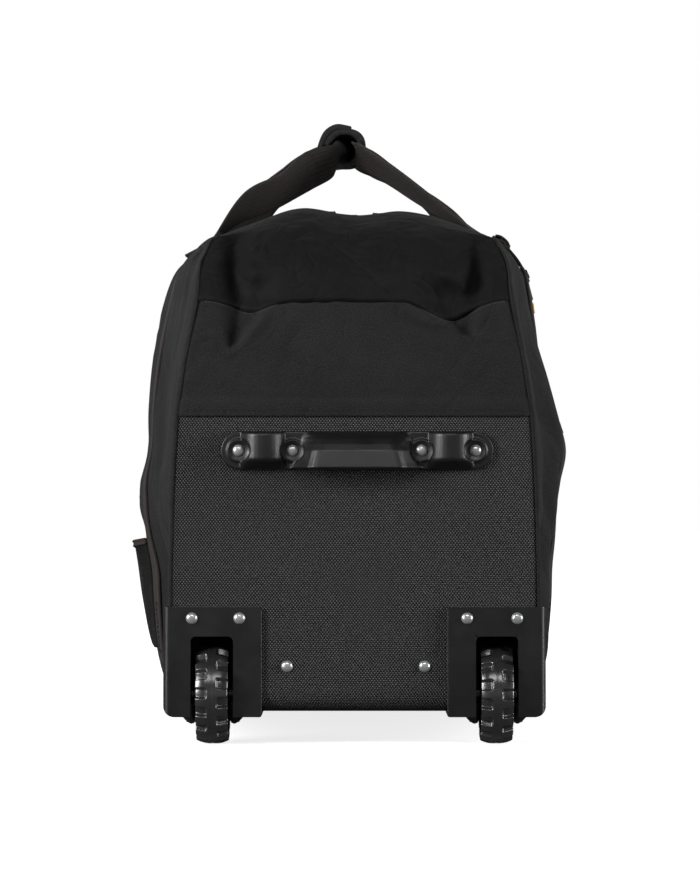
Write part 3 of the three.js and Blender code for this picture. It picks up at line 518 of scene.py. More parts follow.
def loft(bm, rings):
    """A closed solid through rings of points, added to a bmesh."""
    loops = []
    for ring in rings:
        verts = [bm.verts.new(point) for point in ring]
        loops.append([bm.edges.new(pair) for pair in zip(verts, verts[1:] + verts[:1])])
    for a, b in zip(loops, loops[1:]):
        bmesh.ops.bridge_loops(bm, edges=a + b)
    for loop in (loops[0], loops[-1]):
        bmesh.ops.contextual_create(bm, geom=loop)
    bmesh.ops.recalc_face_normals(bm, faces=bm.faces)
    return bm


def turned(bm, profile, steps, matrix):
    """A shape turned about z from profile points of radius and height, then placed by a matrix."""
    verts = [bm.verts.new((radius, 0.0, height)) for radius, height in profile]
    edges = [bm.edges.new(pair) for pair in zip(verts, verts[1:])]
    bmesh.ops.spin(bm, geom=verts + edges, cent=(0, 0, 0), axis=(0, 0, 1), angle=2 * math.pi,
                   steps=steps, use_merge=True)
    bmesh.ops.remove_doubles(bm, verts=bm.verts, dist=1e-4)
    bmesh.ops.recalc_face_normals(bm, faces=bm.faces)
    bmesh.ops.transform(bm, matrix=matrix, verts=bm.verts)
    return bm


def as_mesh(name, bm, scale=MM):
    """A mesh made of a bmesh, which is scaled to metres and freed."""
    bmesh.ops.scale(bm, vec=(scale, scale, scale), verts=bm.verts)
    mesh = bpy.data.meshes.new(name)
    bm.to_mesh(mesh)
    bm.free()
    return mesh


def as_object(name, data):
    """A scene object that shows a mesh, a lamp or a camera."""
    obj = bpy.data.objects.new(name, data)
    bpy.context.scene.collection.objects.link(obj)
    return obj


def joined(target, source):
    """Adds one bmesh to another and frees it."""
    mesh = as_mesh("joined", source, 1.0)
    target.from_mesh(mesh)
    bpy.data.meshes.remove(mesh)
    return target


def round_edges(bm, edges, offset, segments, clamp_overlap=False):
    bmesh.ops.bevel(bm, geom=edges, offset=offset, offset_type="OFFSET", segments=segments, profile=0.5,
                    affect="EDGES", material=-1, clamp_overlap=clamp_overlap)


def box_piece(bm, middle, size, bevel, matrix, segments=1, neck=1.0):
    """A box with rounded edges, added to a bmesh; neck narrows its back end."""
    part = bmesh.new()
    bmesh.ops.create_cube(part, size=1.0)
    bmesh.ops.scale(part, vec=size, verts=part.verts)
    for vert in part.verts:
        if vert.co.x < 0:
            vert.co.y *= neck
    round_edges(part, part.edges, bevel, segments)
    bmesh.ops.translate(part, vec=middle, verts=part.verts)
    bmesh.ops.transform(part, matrix=matrix, verts=part.verts)
    return joined(bm, part)


def cut(bm, place, direction, clear=False):
    """Cuts a bmesh along a plane, and clears what lies past it if asked."""
    bmesh.ops.bisect_plane(bm, geom=bm.verts[:] + bm.edges[:] + bm.faces[:], plane_co=place,
                           plane_no=direction, clear_outer=clear)


def laid(place, axis, sign=1):
    """The place of a turned shape that is laid over by a quarter turn about an axis."""
    return Matrix.Translation(place) @ Matrix.Rotation(sign * math.pi / 2, 4, axis)


def frame_matrix(point, x_axis, y_axis, z_axis):
    matrix = Matrix((x_axis, y_axis, z_axis)).transposed().to_4x4()
    matrix.translation = point
    return matrix


def add_piece(name, bm, finish, replaced=(), body="bag"):
    """Makes a piece of a bmesh in millimetres."""
    return add_mesh(name, as_mesh(name, bm), finish, replaced, body)


def add_mesh(name, mesh, finish, replaced=(), body="bag"):
    """Makes a smooth piece of a mesh, gives it its finish and sets it on its body."""
    mesh.shade_smooth()
    obj = as_object(name, mesh)
    mesh.materials.clear()
    mesh.materials.append(finish_material(finish))
    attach(obj, body)
    if replaced:
        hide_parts(*replaced)
    return obj


def thicken(obj, thickness, offset=-1.0):
    wall = obj.modifiers.new("wall", "SOLIDIFY")
    wall.thickness = thickness
    wall.offset = offset
    return obj


def wall_piece(name, bm, finish, replaced, thickness, inside=INSIDE):
    """Turns a sheet outwards, makes it a piece of the bag and gives it its thickness."""
    return thicken(add_piece(name, face_away(bm, inside), finish, replaced), thickness)


def band_piece(name, bm, finish, thickness, replaced=()):
    """Makes a ribbon a piece of the bag, with half of its thickness on each of its faces."""
    return thicken(add_piece(name, bm, finish, replaced), thickness, 0.0)


def baked(obj):
    """Applies an object's modifiers to its mesh."""
    graph = bpy.context.evaluated_depsgraph_get()
    mesh = bpy.data.meshes.new_from_object(obj.evaluated_get(graph))
    obj.modifiers.clear()
    old = obj.data
    obj.data = mesh
    bpy.data.meshes.remove(old)
    return obj


# Finishes


def add_node(tree, kind, inputs=None, **settings):
    """A node with its settings; an input is a plain value or a socket to link."""
    made = tree.nodes.new(kind)
    for name, value in settings.items():
        setattr(made, name, value)
    for name, value in (inputs or {}).items():
        if isinstance(value, bpy.types.NodeSocket):
            tree.links.new(value, made.inputs[name])
        else:
            made.inputs[name].default_value = value
    return made


def maths(tree, operation, a, b=0.0):
    return add_node(tree, "ShaderNodeMath", {0: a, 1: b}, operation=operation).outputs[0]


def vectors(tree, operation, inputs):
    return add_node(tree, "ShaderNodeVectorMath", inputs, operation=operation).outputs[0]


def mix_colour(tree, factor, a, b):
    return add_node(tree, "ShaderNodeMix", {0: factor, 6: a, 7: b}, data_type="RGBA").outputs[2]


def ranged(tree, value, low, high, from_low=0.0, from_high=1.0, kind="LINEAR"):
    inputs = {"Value": value, "From Min": from_low, "From Max": from_high, "To Min": low, "To Max": high}
    return add_node(tree, "ShaderNodeMapRange", inputs, interpolation_type=kind).outputs[0]


def grains(tree, vector, scale, **inputs):
    return add_node(tree, "ShaderNodeTexNoise", {"Vector": vector, "Scale": scale, **inputs})


def built_once(collection, name, build, *values):
    """The group or material of a name, built when it is first asked for."""
    return collection.get(name) or build(name, *values)


def new_group(name, inputs, outputs):
    """A shader node group that reads a vector and named values, with its input and output nodes."""
    tree = bpy.data.node_groups.new(name, "ShaderNodeTree")
    tree.interface.new_socket("Vector", in_out="INPUT", socket_type="NodeSocketVector")
    for label, default in inputs.items():
        socket = tree.interface.new_socket(label, in_out="INPUT", socket_type="NodeSocketFloat")
        socket.default_value = default
    for label in outputs:
        tree.interface.new_socket(label, in_out="OUTPUT", socket_type="NodeSocketFloat")
    return tree, tree.nodes.new("NodeGroupInput").outputs, tree.nodes.new("NodeGroupOutput").inputs


def weave_group(name):
    """Staggered crowns of a basket weave, from a vector in metres; the crown mask lightens the crowns with
    a painted highlight and darkens the gaps with painted shade.
    """
    tree, start, end = new_group(
        name, {"Across": 0.0026, "Along": 0.0038, "Wobble": 0.0002}, ("Height", "Crown", "Thread"))
    drift = grains(tree, start["Vector"], 90.0).outputs["Color"]
    centred = vectors(tree, "SUBTRACT", {0: drift, 1: (0.5, 0.5, 0.5)})
    shift = vectors(tree, "SCALE", {0: centred, "Scale": start["Wobble"]})
    moved = vectors(tree, "ADD", {0: start["Vector"], 1: shift})
    parts = add_node(tree, "ShaderNodeSeparateXYZ", {0: moved}).outputs
    waves = []
    for part, pitch in (("X", "Across"), ("Y", "Along")):
        turns = maths(tree, "DIVIDE", parts[part], start[pitch])
        waves.append(maths(tree, "COSINE", maths(tree, "MULTIPLY", turns, 2 * math.pi)))
    product = maths(tree, "MULTIPLY", *waves)
    tree.links.new(maths(tree, "POWER", maths(tree, "ABSOLUTE", product), 0.6), end["Height"])
    # Crown mask: 1 on a crown, for its painted highlight, and 0 in the gaps, for their painted shade.
    tree.links.new(ranged(tree, product, 0.0, 1.0, -0.05, 0.6, "SMOOTHSTEP"), end["Crown"])
    tree.links.new(grains(tree, start["Vector"], 700.0, Detail=2.0).outputs["Fac"], end["Thread"])
    return tree


def wear_group(name):
    """Broad mottling and fine specks of a used surface, from a vector in metres."""
    tree, start, end = new_group(name, {"Broad": 14.0, "Fine": 900.0}, ("Mottle", "Specks", "Grain"))
    broad = grains(tree, start["Vector"], start["Broad"], Detail=4.0, Roughness=0.6).outputs["Fac"]
    fine = grains(tree, start["Vector"], start["Fine"], Detail=2.0).outputs["Fac"]
    tree.links.new(broad, end["Mottle"])
    tree.links.new(ranged(tree, fine, 0.0, 1.0, 0.66, 0.78, "SMOOTHSTEP"), end["Specks"])
    tree.links.new(fine, end["Grain"])
    return tree


def crease_group(name):
    """Sharp, wandering creases of slack cloth, from a vector in metres."""
    tree, start, end = new_group(name, {"Scale": 13.0}, ("Height",))
    layers = []
    for factor, weight in ((1.0, 1.0), (2.7, 0.4)):
        size = maths(tree, "MULTIPLY", start["Scale"], factor)
        wander = grains(tree, start["Vector"], size, Detail=1.5, Distortion=1.1).outputs["Fac"]
        ridge = maths(tree, "ABSOLUTE", maths(tree, "SUBTRACT", wander, 0.5))
        sharp = maths(tree, "POWER", maths(tree, "MULTIPLY", ridge, 3.0), 0.6)
        layers.append(maths(tree, "MULTIPLY", sharp, weight))
    tree.links.new(maths(tree, "ADD", *layers), end["Height"])
    return tree


GROUPS = {"basket weave": weave_group, "use and dust": wear_group, "slack creases": crease_group}


def placed_group(tree, name, **inputs):
    """The outputs of a shared effect, placed in a material with its own values."""
    group = built_once(bpy.data.node_groups, name, GROUPS[name])
    return add_node(tree, "ShaderNodeGroup", inputs, node_tree=group).outputs


def blank_material(name):
    made = bpy.data.materials.new(name)
    made.use_nodes = True
    return made, made.node_tree, made.node_tree.nodes["Principled BSDF"].inputs


def scaled(colour, factor):
    return (colour[0] * factor, colour[1] * factor, colour[2] * factor, 1.0)


# dark and light scale a cloth's colour in the gaps and on the crowns of its weave: painted shade in the
# gaps, painted highlight on the crowns.
Cloth = namedtuple("Cloth", "across along wobble dark light depth rough sheen mottle fuzz crease")
CLOTHS = {
    "canvas": Cloth(0.0012, 0.0014, 0.0002, 0.55, 1.4, 0.00022, 0.88, 0.04, 0.5, 0.4, 0.0016),
    "top": Cloth(0.0012, 0.0014, 0.0002, 0.6, 1.3, 0.00018, 0.72, 0.03, 0.45, 0.2, 0.0026),
    "weave": Cloth(0.00245, 0.0031, 0.00008, 0.03, 1.7, 0.0009, 0.5, 0.0, 0.2, 0.05, 0.0),
    "webbing": Cloth(0.0018, 0.0052, 0.0002, 0.6, 1.25, 0.0004, 0.8, 0.06, 0.3, 0.25, 0.0004),
    "pad": Cloth(0.0012, 0.0014, 0.0002, 0.7, 1.2, 0.00022, 0.85, 0.06, 0.3, 0.25, 0.002),
    "binding": Cloth(0.0012, 0.003, 0.0002, 0.55, 1.2, 0.0003, 0.85, 0.05, 0.3, 0.2, 0.0005),
    "zip_tape": Cloth(0.0007, 0.0016, 0.0001, 0.6, 1.3, 0.0002, 0.8, 0.02, 0.2, 0.1, 0.0),
}


def cloth_material(name, colour, row):
    """Woven cloth whose pattern follows the piece's own map, with a painted highlight on its weave's crowns
    and painted shade in the gaps between them.
    """
    made, tree, shader = blank_material(name)
    vector = add_node(tree, "ShaderNodeUVMap", uv_map="run").outputs[0]
    weave = placed_group(
        tree, "basket weave", Vector=vector, Across=row.across, Along=row.along, Wobble=row.wobble)
    wear = placed_group(tree, "use and dust", Vector=vector)
    slack = placed_group(tree, "slack creases", Vector=vector)
    # Painted highlight on the weave's crowns and painted shade in the gaps between them.
    tone = mix_colour(tree, weave["Crown"], scaled(colour, row.dark), scaled(colour, row.light))
    for mask, share, low, high, paint in (
            ("Mottle", row.mottle, 0.35, 0.7, scaled(colour, 0.45)),
            ("Grain", row.fuzz, 0.42, 0.62, scaled(colour, 2.4)),
            ("Specks", 0.06, 0.0, 1.0, scaled((1, 1, 1), 0.16))):
        tone = mix_colour(tree, ranged(tree, wear[mask], 0.0, share, low, high), tone, paint)
    tree.links.new(tone, shader["Base Color"])
    rough = ranged(tree, wear["Mottle"], row.rough - 0.08, row.rough + 0.08, 0.3, 0.7)
    tree.links.new(rough, shader["Roughness"])
    relief = maths(tree, "ADD", maths(tree, "MULTIPLY", weave["Height"], 0.8),
                   maths(tree, "MULTIPLY", weave["Thread"], 0.2))
    lift = add_node(tree, "ShaderNodeBump", {"Height": relief, "Distance": row.depth, "Strength": 0.9})
    folded = add_node(tree, "ShaderNodeBump", {
        "Height": slack["Height"], "Distance": row.crease, "Strength": 1.0, "Normal": lift.outputs[0]})
    tree.links.new(folded.outputs[0], shader["Normal"])
    shader["Sheen Weight"].default_value = row.sheen
    shader["Sheen Roughness"].default_value = 0.45
    shader["Specular IOR Level"].default_value = 0.2
    return made


Hard = namedtuple("Hard", "rough spread specular grain_scale grain metallic coat dust")
HARDS = {
    "moulding": Hard(0.4, 0.08, 0.65, 1400.0, 0.00012, 0.0, 0.0, 0.1),
    "tyre": Hard(0.26, 0.06, 0.9, 900.0, 0.00005, 0.0, 0.8, 0.05),
    "zinc": Hard(0.3, 0.12, 0.5, 500.0, 0.00005, 0.7, 0.0, 0.0),
    "zip_teeth": Hard(0.35, 0.1, 0.5, 1200.0, 0.00005, 0.0, 0.0, 0.05),
    "pull_tip": Hard(0.4, 0.1, 0.5, 1200.0, 0.00006, 0.0, 0.0, 0.05),
    "thread": Hard(0.85, 0.1, 0.15, 2500.0, 0.0001, 0.0, 0.0, 0.05),
    # A lighter copy of the thread, for the painted highlight along the seam.
    "seam_thread": Hard(0.85, 0.1, 0.15, 2500.0, 0.0001, 0.0, 0.0, 0.05),
}


def hard_material(name, colour, row):
    """Moulded plastic, thread or metal with a fine grain and some dust."""
    made, tree, shader = blank_material(name)
    vector = add_node(tree, "ShaderNodeTexCoord").outputs["Object"]
    wear = placed_group(tree, "use and dust", Vector=vector, Broad=45.0, Fine=row.grain_scale)
    varied = mix_colour(tree, ranged(tree, wear["Mottle"], 0.0, 0.35, 0.35, 0.7),
                        scaled(colour, 1.1), scaled(colour, 0.75))
    dust = ranged(tree, wear["Specks"], 0.0, row.dust)
    tree.links.new(mix_colour(tree, dust, varied, scaled((1, 1, 1), 0.2)), shader["Base Color"])
    rough = ranged(tree, wear["Mottle"], row.rough - row.spread, row.rough + row.spread, 0.3, 0.7)
    tree.links.new(rough, shader["Roughness"])
    lift = add_node(tree, "ShaderNodeBump",
                    {"Height": wear["Grain"], "Distance": row.grain, "Strength": 0.7})
    tree.links.new(lift.outputs[0], shader["Normal"])
    shader["Metallic"].default_value = row.metallic
    shader["Specular IOR Level"].default_value = row.specular
    shader["Coat Weight"].default_value = row.coat
    shader["Coat Roughness"].default_value = 0.2
    return made


def finish_material(finish):
    """The material of a finish, built once."""
    colour_name = "zip" if finish in ("zip_tape", "zip_teeth") else finish
    colour = tuple(getattr(bpy.context.scene.holdall_colours, colour_name))
    build, row = (cloth_material, CLOTHS[finish]) if finish in CLOTHS else (hard_material, HARDS[finish])
    return built_once(bpy.data.materials, f"dressed_{finish}", build, colour, row)


# Cloth walls

def dense_ends(t):
    """Spreads the rows of a sheet so that more of them lie near its ends."""
    return 0.55 * t + 0.45 * (0.5 - 0.5 * math.cos(math.pi * t))


def turned_in(distance, reach, depth):
    """How far a sewn edge is rolled in, at a distance from the edge."""
    return depth * (1 - clamp(distance / reach)) ** 2


def puckers(along, distance, depth, seed):
    """Short gathers that fade away from a seam."""
    wave = noise.noise(Vector((along / 9.0, seed, 0.0)))
    return depth * wave * math.exp(-distance / 16.0)


def cut_wells(bm, axis, limit):
    """Cuts the two wheel wells out of a panel; axis is the direction that they run in from its edge."""
    for side in (-1, 1):
        for x in (side * WHEEL_X - WELL_HALF, side * WHEEL_X + WELL_HALF):
            cut(bm, (x, 0, 0), (1, 0, 0))
    cut(bm, axis * limit, axis)
    gone = []
    for face in bm.faces:
        middle = face.calc_center_median()
        if middle.dot(axis) < limit and abs(abs(middle.x) - WHEEL_X) < WELL_HALF:
            gone.append(face)
    bmesh.ops.delete(bm, geom=gone, context="FACES")


def end_place(end, across, level, margin):
    half = sample(LEVELS, "end_half", level) - margin
    y = NEAR_Y + setback(level) if end < 0 else FAR_Y - setback(level)
    return Vector((across * half, y, base_z(y) + sample(LEVELS, "end_height", level)))


class HOLDALL_OT_woven_panels(bpy.types.Operator):
    """Build the stiff woven panel of the wheel end and the base"""
    bl_idname = "holdall.woven_panels"
    bl_label = "Woven panels"

    def execute(self, context):
        sizes = context.scene.holdall_sizes
        weave_level = level_at(WEAVE_TOP)

        def end(u, v):
            point = end_place(-1, 2 * u - 1, weave_level * v ** 1.5, 2.2)
            point.y += turned_in(min(u, 1 - u) * PANEL_WIDTH, 6, 2.4)
            return point

        bm = cloth(120, 80, end)
        cut_wells(bm, Vector((0, 0, 1)), WELL_ROOF)
        wall_piece("woven_end", bm, "weave", ["wheel_end_panel"], sizes.panel)

        half = LEVELS[0].end_half - 0.6

        def base(u, v):
            y = lerp(NEAR_Y + 15.2, FAR_Y - 15.2, v)
            x = lerp(-half, half, u)
            edge = min(half - abs(x), 12)
            return Vector((x, y, base_z(y) + turned_in(edge, 6, 1.6)))

        bm = cloth(64, 150, base)
        cut_wells(bm, Vector((0, 1, 0)), WELL_BACK)
        wall_piece("woven_base", bm, "weave", ["base_panel"], sizes.panel)
        return {"FINISHED"}


class HOLDALL_OT_end_cloth(bpy.types.Operator):
    """Build the canvas of the wheel end above the woven panel, and the far end"""
    bl_idname = "holdall.end_cloth"
    bl_label = "End cloth"

    def execute(self, context):
        sizes = context.scene.holdall_sizes
        start = level_at(WEAVE_TOP)
        stop = level_at(SEAM_TOP)

        def near(u, v):
            across = 2 * u - 1
            edge = end_place(-1, across, lerp(start, stop, v), 2.2)
            height = lerp(WEAVE_TOP - 1, seam_height(edge.x) + 0.4, v)
            loose = smooth(v, 0, 0.3) * (1 - abs(across) ** 5)
            from_side = min(u, 1 - u) * END_WIDTH
            hem = 1.5 * (1 - smooth(height - WEAVE_TOP, 9, 15))
            lip = turned_in((1 - v) * 90, 5, 1.8)
            y = edge.y + loose * (end_dent(edge.x, height) - end_ridges(edge.x, height))
            y += turned_in(from_side, 6, 2.6) + lip - hem
            return Vector((edge.x, y, BASE_RISE + height))

        def near_relief(u, v, point):
            free = smooth(v, 0.12, 0.4) * smooth(min(u, 1 - u), 0, 0.06)
            gathers = puckers(point.x, (1 - v) * 92, 0.9, 3.1) * smooth(1 - v, 0, 0.03)
            return free * (2.6 * ruffle(point, 50, 11) + 0.8 * ruffle(point, 15, 5)) + gathers

        bm = cloth(170, 64, near, near_relief)
        wall_piece("end_canvas", bm, "canvas", ["wheel_end_canvas"], sizes.canvas)
        # A row of lighter thread along the seam's edge: a painted highlight on the seam, with its frayed
        # rub.
        edge = [near(lerp(0.02, 0.98, i / 160), 0.978) + Vector((0, -0.1, 0)) for i in range(161)]
        bm = bmesh.new()
        stitch_row(bm, edge, [Vector((0, -1, 0))] * 161, 1.7)
        add_piece("end_seam_edge", bm, "seam_thread")

        def far(u, v):
            across = 2 * u - 1
            point = end_place(1, across, stop * v ** 1.3, 2.2)
            swell = math.cos(across * 1.5) * math.sin(math.pi * clamp(v * 1.1 - 0.1))
            from_side = min(u, 1 - u) * END_WIDTH
            point.y += 7 * swell - turned_in(from_side, 6, 2.6) - turned_in((1 - v) * 330, 5, 3.0)
            return point

        def far_relief(u, v, point):
            free = smooth(v, 0.05, 0.2) * smooth(min(u, 1 - u), 0, 0.06)
            return free * (1.6 * ruffle(point, 60, 29) - 0.6)

        bm = cloth(120, 130, far, far_relief)
        wall_piece("far_canvas", bm, "canvas", ["far_end_panel"], sizes.canvas)
        return {"FINISHED"}


def drape(side, point, level):
    """Long soft hollows of a slack side, kept off the zip of the right side and the pocket of the left."""
    slope = noise.noise(Vector((point.y / 62 + side * point.z / 150, point.z / 210, 31.0 + side)))
    crease = clamp(1 - 3.4 * abs(slope)) ** 2
    hollow = max(noise.noise(Vector((point.y / 90, point.z / 120, 11.0 - side))), 0.0)
    if side > 0:
        leg = bump(abs(point.y) - SIDE_ZIP_Y, 26) * smooth(level, SIDE_ZIP_LOW - 1.2, SIDE_ZIP_LOW)
        sewn = max(leg, bump(level - SIDE_ZIP_TOP, 1.3))
    else:
        beside = smooth(abs(point.y), POCKET_HALF + 10, POCKET_HALF + 30)
        sewn = (1 - beside) * smooth(level, POCKET_LOW - 1, POCKET_LOW - 0.3) * (
            1 - smooth(level, POCKET_TOP + 0.2, POCKET_TOP + 0.9))
    return -(3.6 * crease + 3.0 * hollow) * (1 - sewn)


class HOLDALL_OT_side_cloth(bpy.types.Operator):
    """Build the two filled side walls"""
    bl_idname = "holdall.side_cloth"
    bl_label = "Side cloth"

    def execute(self, context):
        for side, name in ((-1, "left"), (1, "right")):
            self.build(side, name, context.scene.holdall_sizes.canvas)
        return {"FINISHED"}

    def build(self, side, name, thickness):
        def limits(level):
            return NEAR_Y + setback(level), FAR_Y - setback(level)

        def place(u, v):
            level = LAST * v
            near, far = limits(level)
            y = lerp(near, far, dense_ends(u))
            point = side_point(side, y, level)
            roll = turned_in(min(y - near, far - y), 5, 2.0) + turned_in((1 - v) * 380, 5, 1.6)
            point.x -= side * roll
            return point

        def relief(u, v, point):
            level = LAST * v
            near, far = limits(level)
            from_end = min(point.y - near, far - point.y)
            free = smooth(from_end, 4, 50) * smooth(v, 0.08, 0.25) * smooth(1 - v, 0.01, 0.1)
            squat = Vector((point.x, point.y, point.z * 0.75))
            rise = 4.2 * free * ruffle(squat, 74, 17 + 5 * side) - 1.2 * free
            rise += puckers(point.y, (1 - v) * 400, 1.6, side * 5.3) * smooth(1 - v, 0, 0.02)
            gathers = puckers(point.z, from_end, 1.2, side * 8.7) * smooth(from_end, 0, 6)
            rise += gathers * smooth(v, 0.3, 0.5)
            rise = min(rise, 0.7) + free * drape(side, point, level)
            for y in (STRAP_NEAR_Y, STRAP_FAR_Y):
                beside = math.copysign(50.0, y)
                puff = 7.0 * bump(point.y - y - beside, 22) * free * (1 - smooth(level, 9.5, 11.5))
                rise = lerp(rise, -0.6, bump(point.y - y, 26)) + puff
            pleats = math.cos((point.y + 332) * 2 * math.pi / 10) * bump(point.y + 332, 13)
            rise += 2.0 * pleats * smooth(level, 11.6, 12.6) * smooth(LAST - level, 0, 0.3)
            return rise * smooth(level, 0.2, 1.4)

        bm = cloth(210, 96, place, relief)
        wall_piece(f"side_canvas_{name}", bm, "canvas", [f"side_panel_{name}"], thickness)


class HOLDALL_OT_top_cloth(bpy.types.Operator):
    """Build the top with its slumped ends and the trough that the main zip lies in"""
    bl_idname = "holdall.top_cloth"
    bl_label = "Top cloth"

    def execute(self, context):
        stations = 2 * TOP_HALF

        def place(u, v):
            across = 2 * dense_ends(u) - 1
            point = top_point(stations * v, across)
            tuck = turned_in(min(v, 1 - v) * TOP_RUN, 6, 2.6)
            point.y += tuck if v < 0.5 else -tuck
            point.z -= 1.6 * tuck
            point.z -= turned_in((1 - abs(across)) * 128, 5, 1.6)
            return point

        def relief(u, v, point):
            station = stations * v
            across = abs(2 * dense_ends(u) - 1)
            from_end = min(v, 1 - v)
            free = smooth(1 - across, 0.0, 0.14) * smooth(from_end, 0.01, 0.06)
            on_end = 1 - smooth(min(station, stations - station), 2.6, 4.2)
            rise = 3.4 * free * ruffle(point, 58, 41) - 0.8 * free
            rise += 3.2 * free * on_end * ruffle(Vector((point.x * 0.7, point.y, point.z)), 24, 19)
            rise += 1.1 * free * on_end * ruffle(point, 10, 23)
            rise += puckers(point.y, (1 - across) * 125, 1.5, 2.2) * smooth(1 - across, 0, 0.03)
            rise += puckers(point.x, from_end * TOP_RUN, 1.2, 6.6) * smooth(from_end, 0, 0.01)
            inside = smooth(station, ZIP_START - 0.1, ZIP_START + 0.1)
            inside *= 1 - smooth(station, stations - ZIP_START - 0.1, stations - ZIP_START + 0.1)
            trough = inside * (1 - smooth(abs(point.x), ZIP_HALF - 1, ZIP_HALF + 1.5))
            lip = inside * bump(abs(point.x) - ZIP_HALF - 3, 2.4)
            calm = 1 - 0.85 * inside * (1 - smooth(abs(point.x), 18, 40))
            return min(rise, 2.0) * calm - 2.8 * trough + 0.9 * lip

        bm = cloth(130, 230, place, relief)
        wall_piece("top_canvas", bm, "top", ["top_panel"], context.scene.holdall_sizes.canvas)
        return {"FINISHED"}


# Webbing

def width_at_turn(along, turn):
    level = along.cross(Vector((0, 0, 1))).normalized()
    upright = level.cross(along).normalized()
    angle = math.radians(turn)
    return level * math.cos(angle) + upright * math.sin(angle)


def strap_path(side, steps):
    """Points, width directions and widths along a carry strap."""
    run = STRAP_RUNS[side]
    keys = []

    def leg(y, level):
        stand = LEG_OFFSET + 1.5 * smooth(level, 11, 13.2)
        point = side_point(side, y, level) + side_normal(side, y, level) * stand
        across = (side_point(side, y + 12, level) - side_point(side, y - 12, level)).normalized()
        return point, across, STRAP_WIDTH

    for level in LEG_LEVELS:
        keys.append(leg(STRAP_NEAR_Y, level))
    for i, row in enumerate(run):
        before, after = run[max(i - 1, 0)], run[min(i + 1, len(run) - 1)]
        along = Vector((after.x - before.x, after.y - before.y, after.z - before.z)).normalized()
        across = width_at_turn(along, row.turn if side < 0 else 180 - row.turn)
        keys.append((Vector((row.x, row.y, row.z)), across, row.width))
    for level in reversed(LEG_LEVELS):
        keys.append(leg(STRAP_FAR_Y, level))
    points = [key[0] for key in keys]
    across = [key[1] for key in keys]
    width = [Vector((key[2], 0, 0)) for key in keys]
    places = [i / steps for i in range(steps + 1)]
    return ([curve_through(points, t) for t in places], [curve_through(across, t) for t in places],
            [curve_through(width, t).x for t in places])


class HOLDALL_OT_straps(bpy.types.Operator):
    """Build the two carry straps"""
    bl_idname = "holdall.straps"
    bl_label = "Carry straps"

    def execute(self, context):
        thickness = context.scene.holdall_sizes.strap
        for side, name in ((-1, "strap_left"), (1, "strap_right")):
            points, across, widths = strap_path(side, 330)

            def cup(u, v):
                bow = math.sin(2 * math.pi * 3 * u + side) * 0.5
                gather = 5.0 * bump(u - 0.5, 0.14)
                pleat = 1.7 * math.sin(2 * math.pi * 75 * u) * bump(u - 0.286, 0.011) * (side > 0)
                return (bow + gather) * ((2 * v - 1) ** 2 - 0.4) + pleat

            bm = self.ribbon(side, points, across, widths, cup)
            band_piece(f"carry_{name}", bm, "webbing", thickness, [name])
        self.gathered_fold(0.5 * thickness)
        return {"FINISHED"}

    @staticmethod
    def gathered_fold(thickness):
        """Slack webbing folded to and fro where the right strap bends over the shoulder."""
        level = 13.3
        face = side_normal(1, STRAP_NEAR_Y, level)
        down = (side_point(1, STRAP_NEAR_Y, level - 0.4) - side_point(1, STRAP_NEAR_Y, level)).normalized()
        start = side_point(1, STRAP_NEAR_Y, level) + face * 0.8 - down * 5.5
        folds = [(-12, 0.2), (-5, 0.3), (3, 0.6), (5.6, 1.3), (3.4, 2.0), (-3, 1.8), (-5.6, 2.4),
                 (-3.4, 3.1), (2.5, 3.0), (4.6, 3.7), (2.2, 4.3), (-4, 3.6), (-10, 1.4)]
        keys = [start + down * along + face * rise for along, rise in folds]
        points = [curve_through(keys, i / 72) for i in range(73)]
        sway = [Vector((0.22 * math.sin(i / 9), 1, 0.3 * math.cos(i / 7))) for i in range(73)]
        bm = band(points, sway, 22.0, 8)
        # The fold takes the lighter binding colour instead of the webbing's, as painted light on its folds.
        band_piece("strap_fold_right", bm, "binding", thickness)

    @staticmethod
    def ribbon(side, points, across, widths, cup):
        """A strap whose legs hug the sides and whose middle runs free."""
        frames = frames_along(points, across)
        steps = len(points) - 1
        last_key = 2 * len(LEG_LEVELS) + len(STRAP_RUNS[side]) - 1

        def place(u, v):
            point, _along, width, face = frames[round(u * steps)]
            free = point + width * ((v - 0.5) * widths[round(u * steps)]) + face * cup(u, v)
            key = min(u, 1 - u) * last_key
            hold = 1 - smooth(key, len(LEG_LEVELS) - 2, len(LEG_LEVELS) - 0.6)
            if hold <= 0:
                return free
            i = min(int(key), len(LEG_LEVELS) - 2)
            level = lerp(LEG_LEVELS[i], LEG_LEVELS[i + 1], clamp(key - i))
            y = (STRAP_NEAR_Y if u < 0.5 else STRAP_FAR_Y) + (v - 0.5) * widths[0]
            rise = LEG_OFFSET + 0.9 * smooth(level, 11, 13.2) + 0.25 * math.cos(2 * math.pi * v)
            hugged = side_point(side, y, level) + side_normal(side, y, level) * rise
            return free.lerp(hugged, hold)

        return cloth(steps, 14, place)


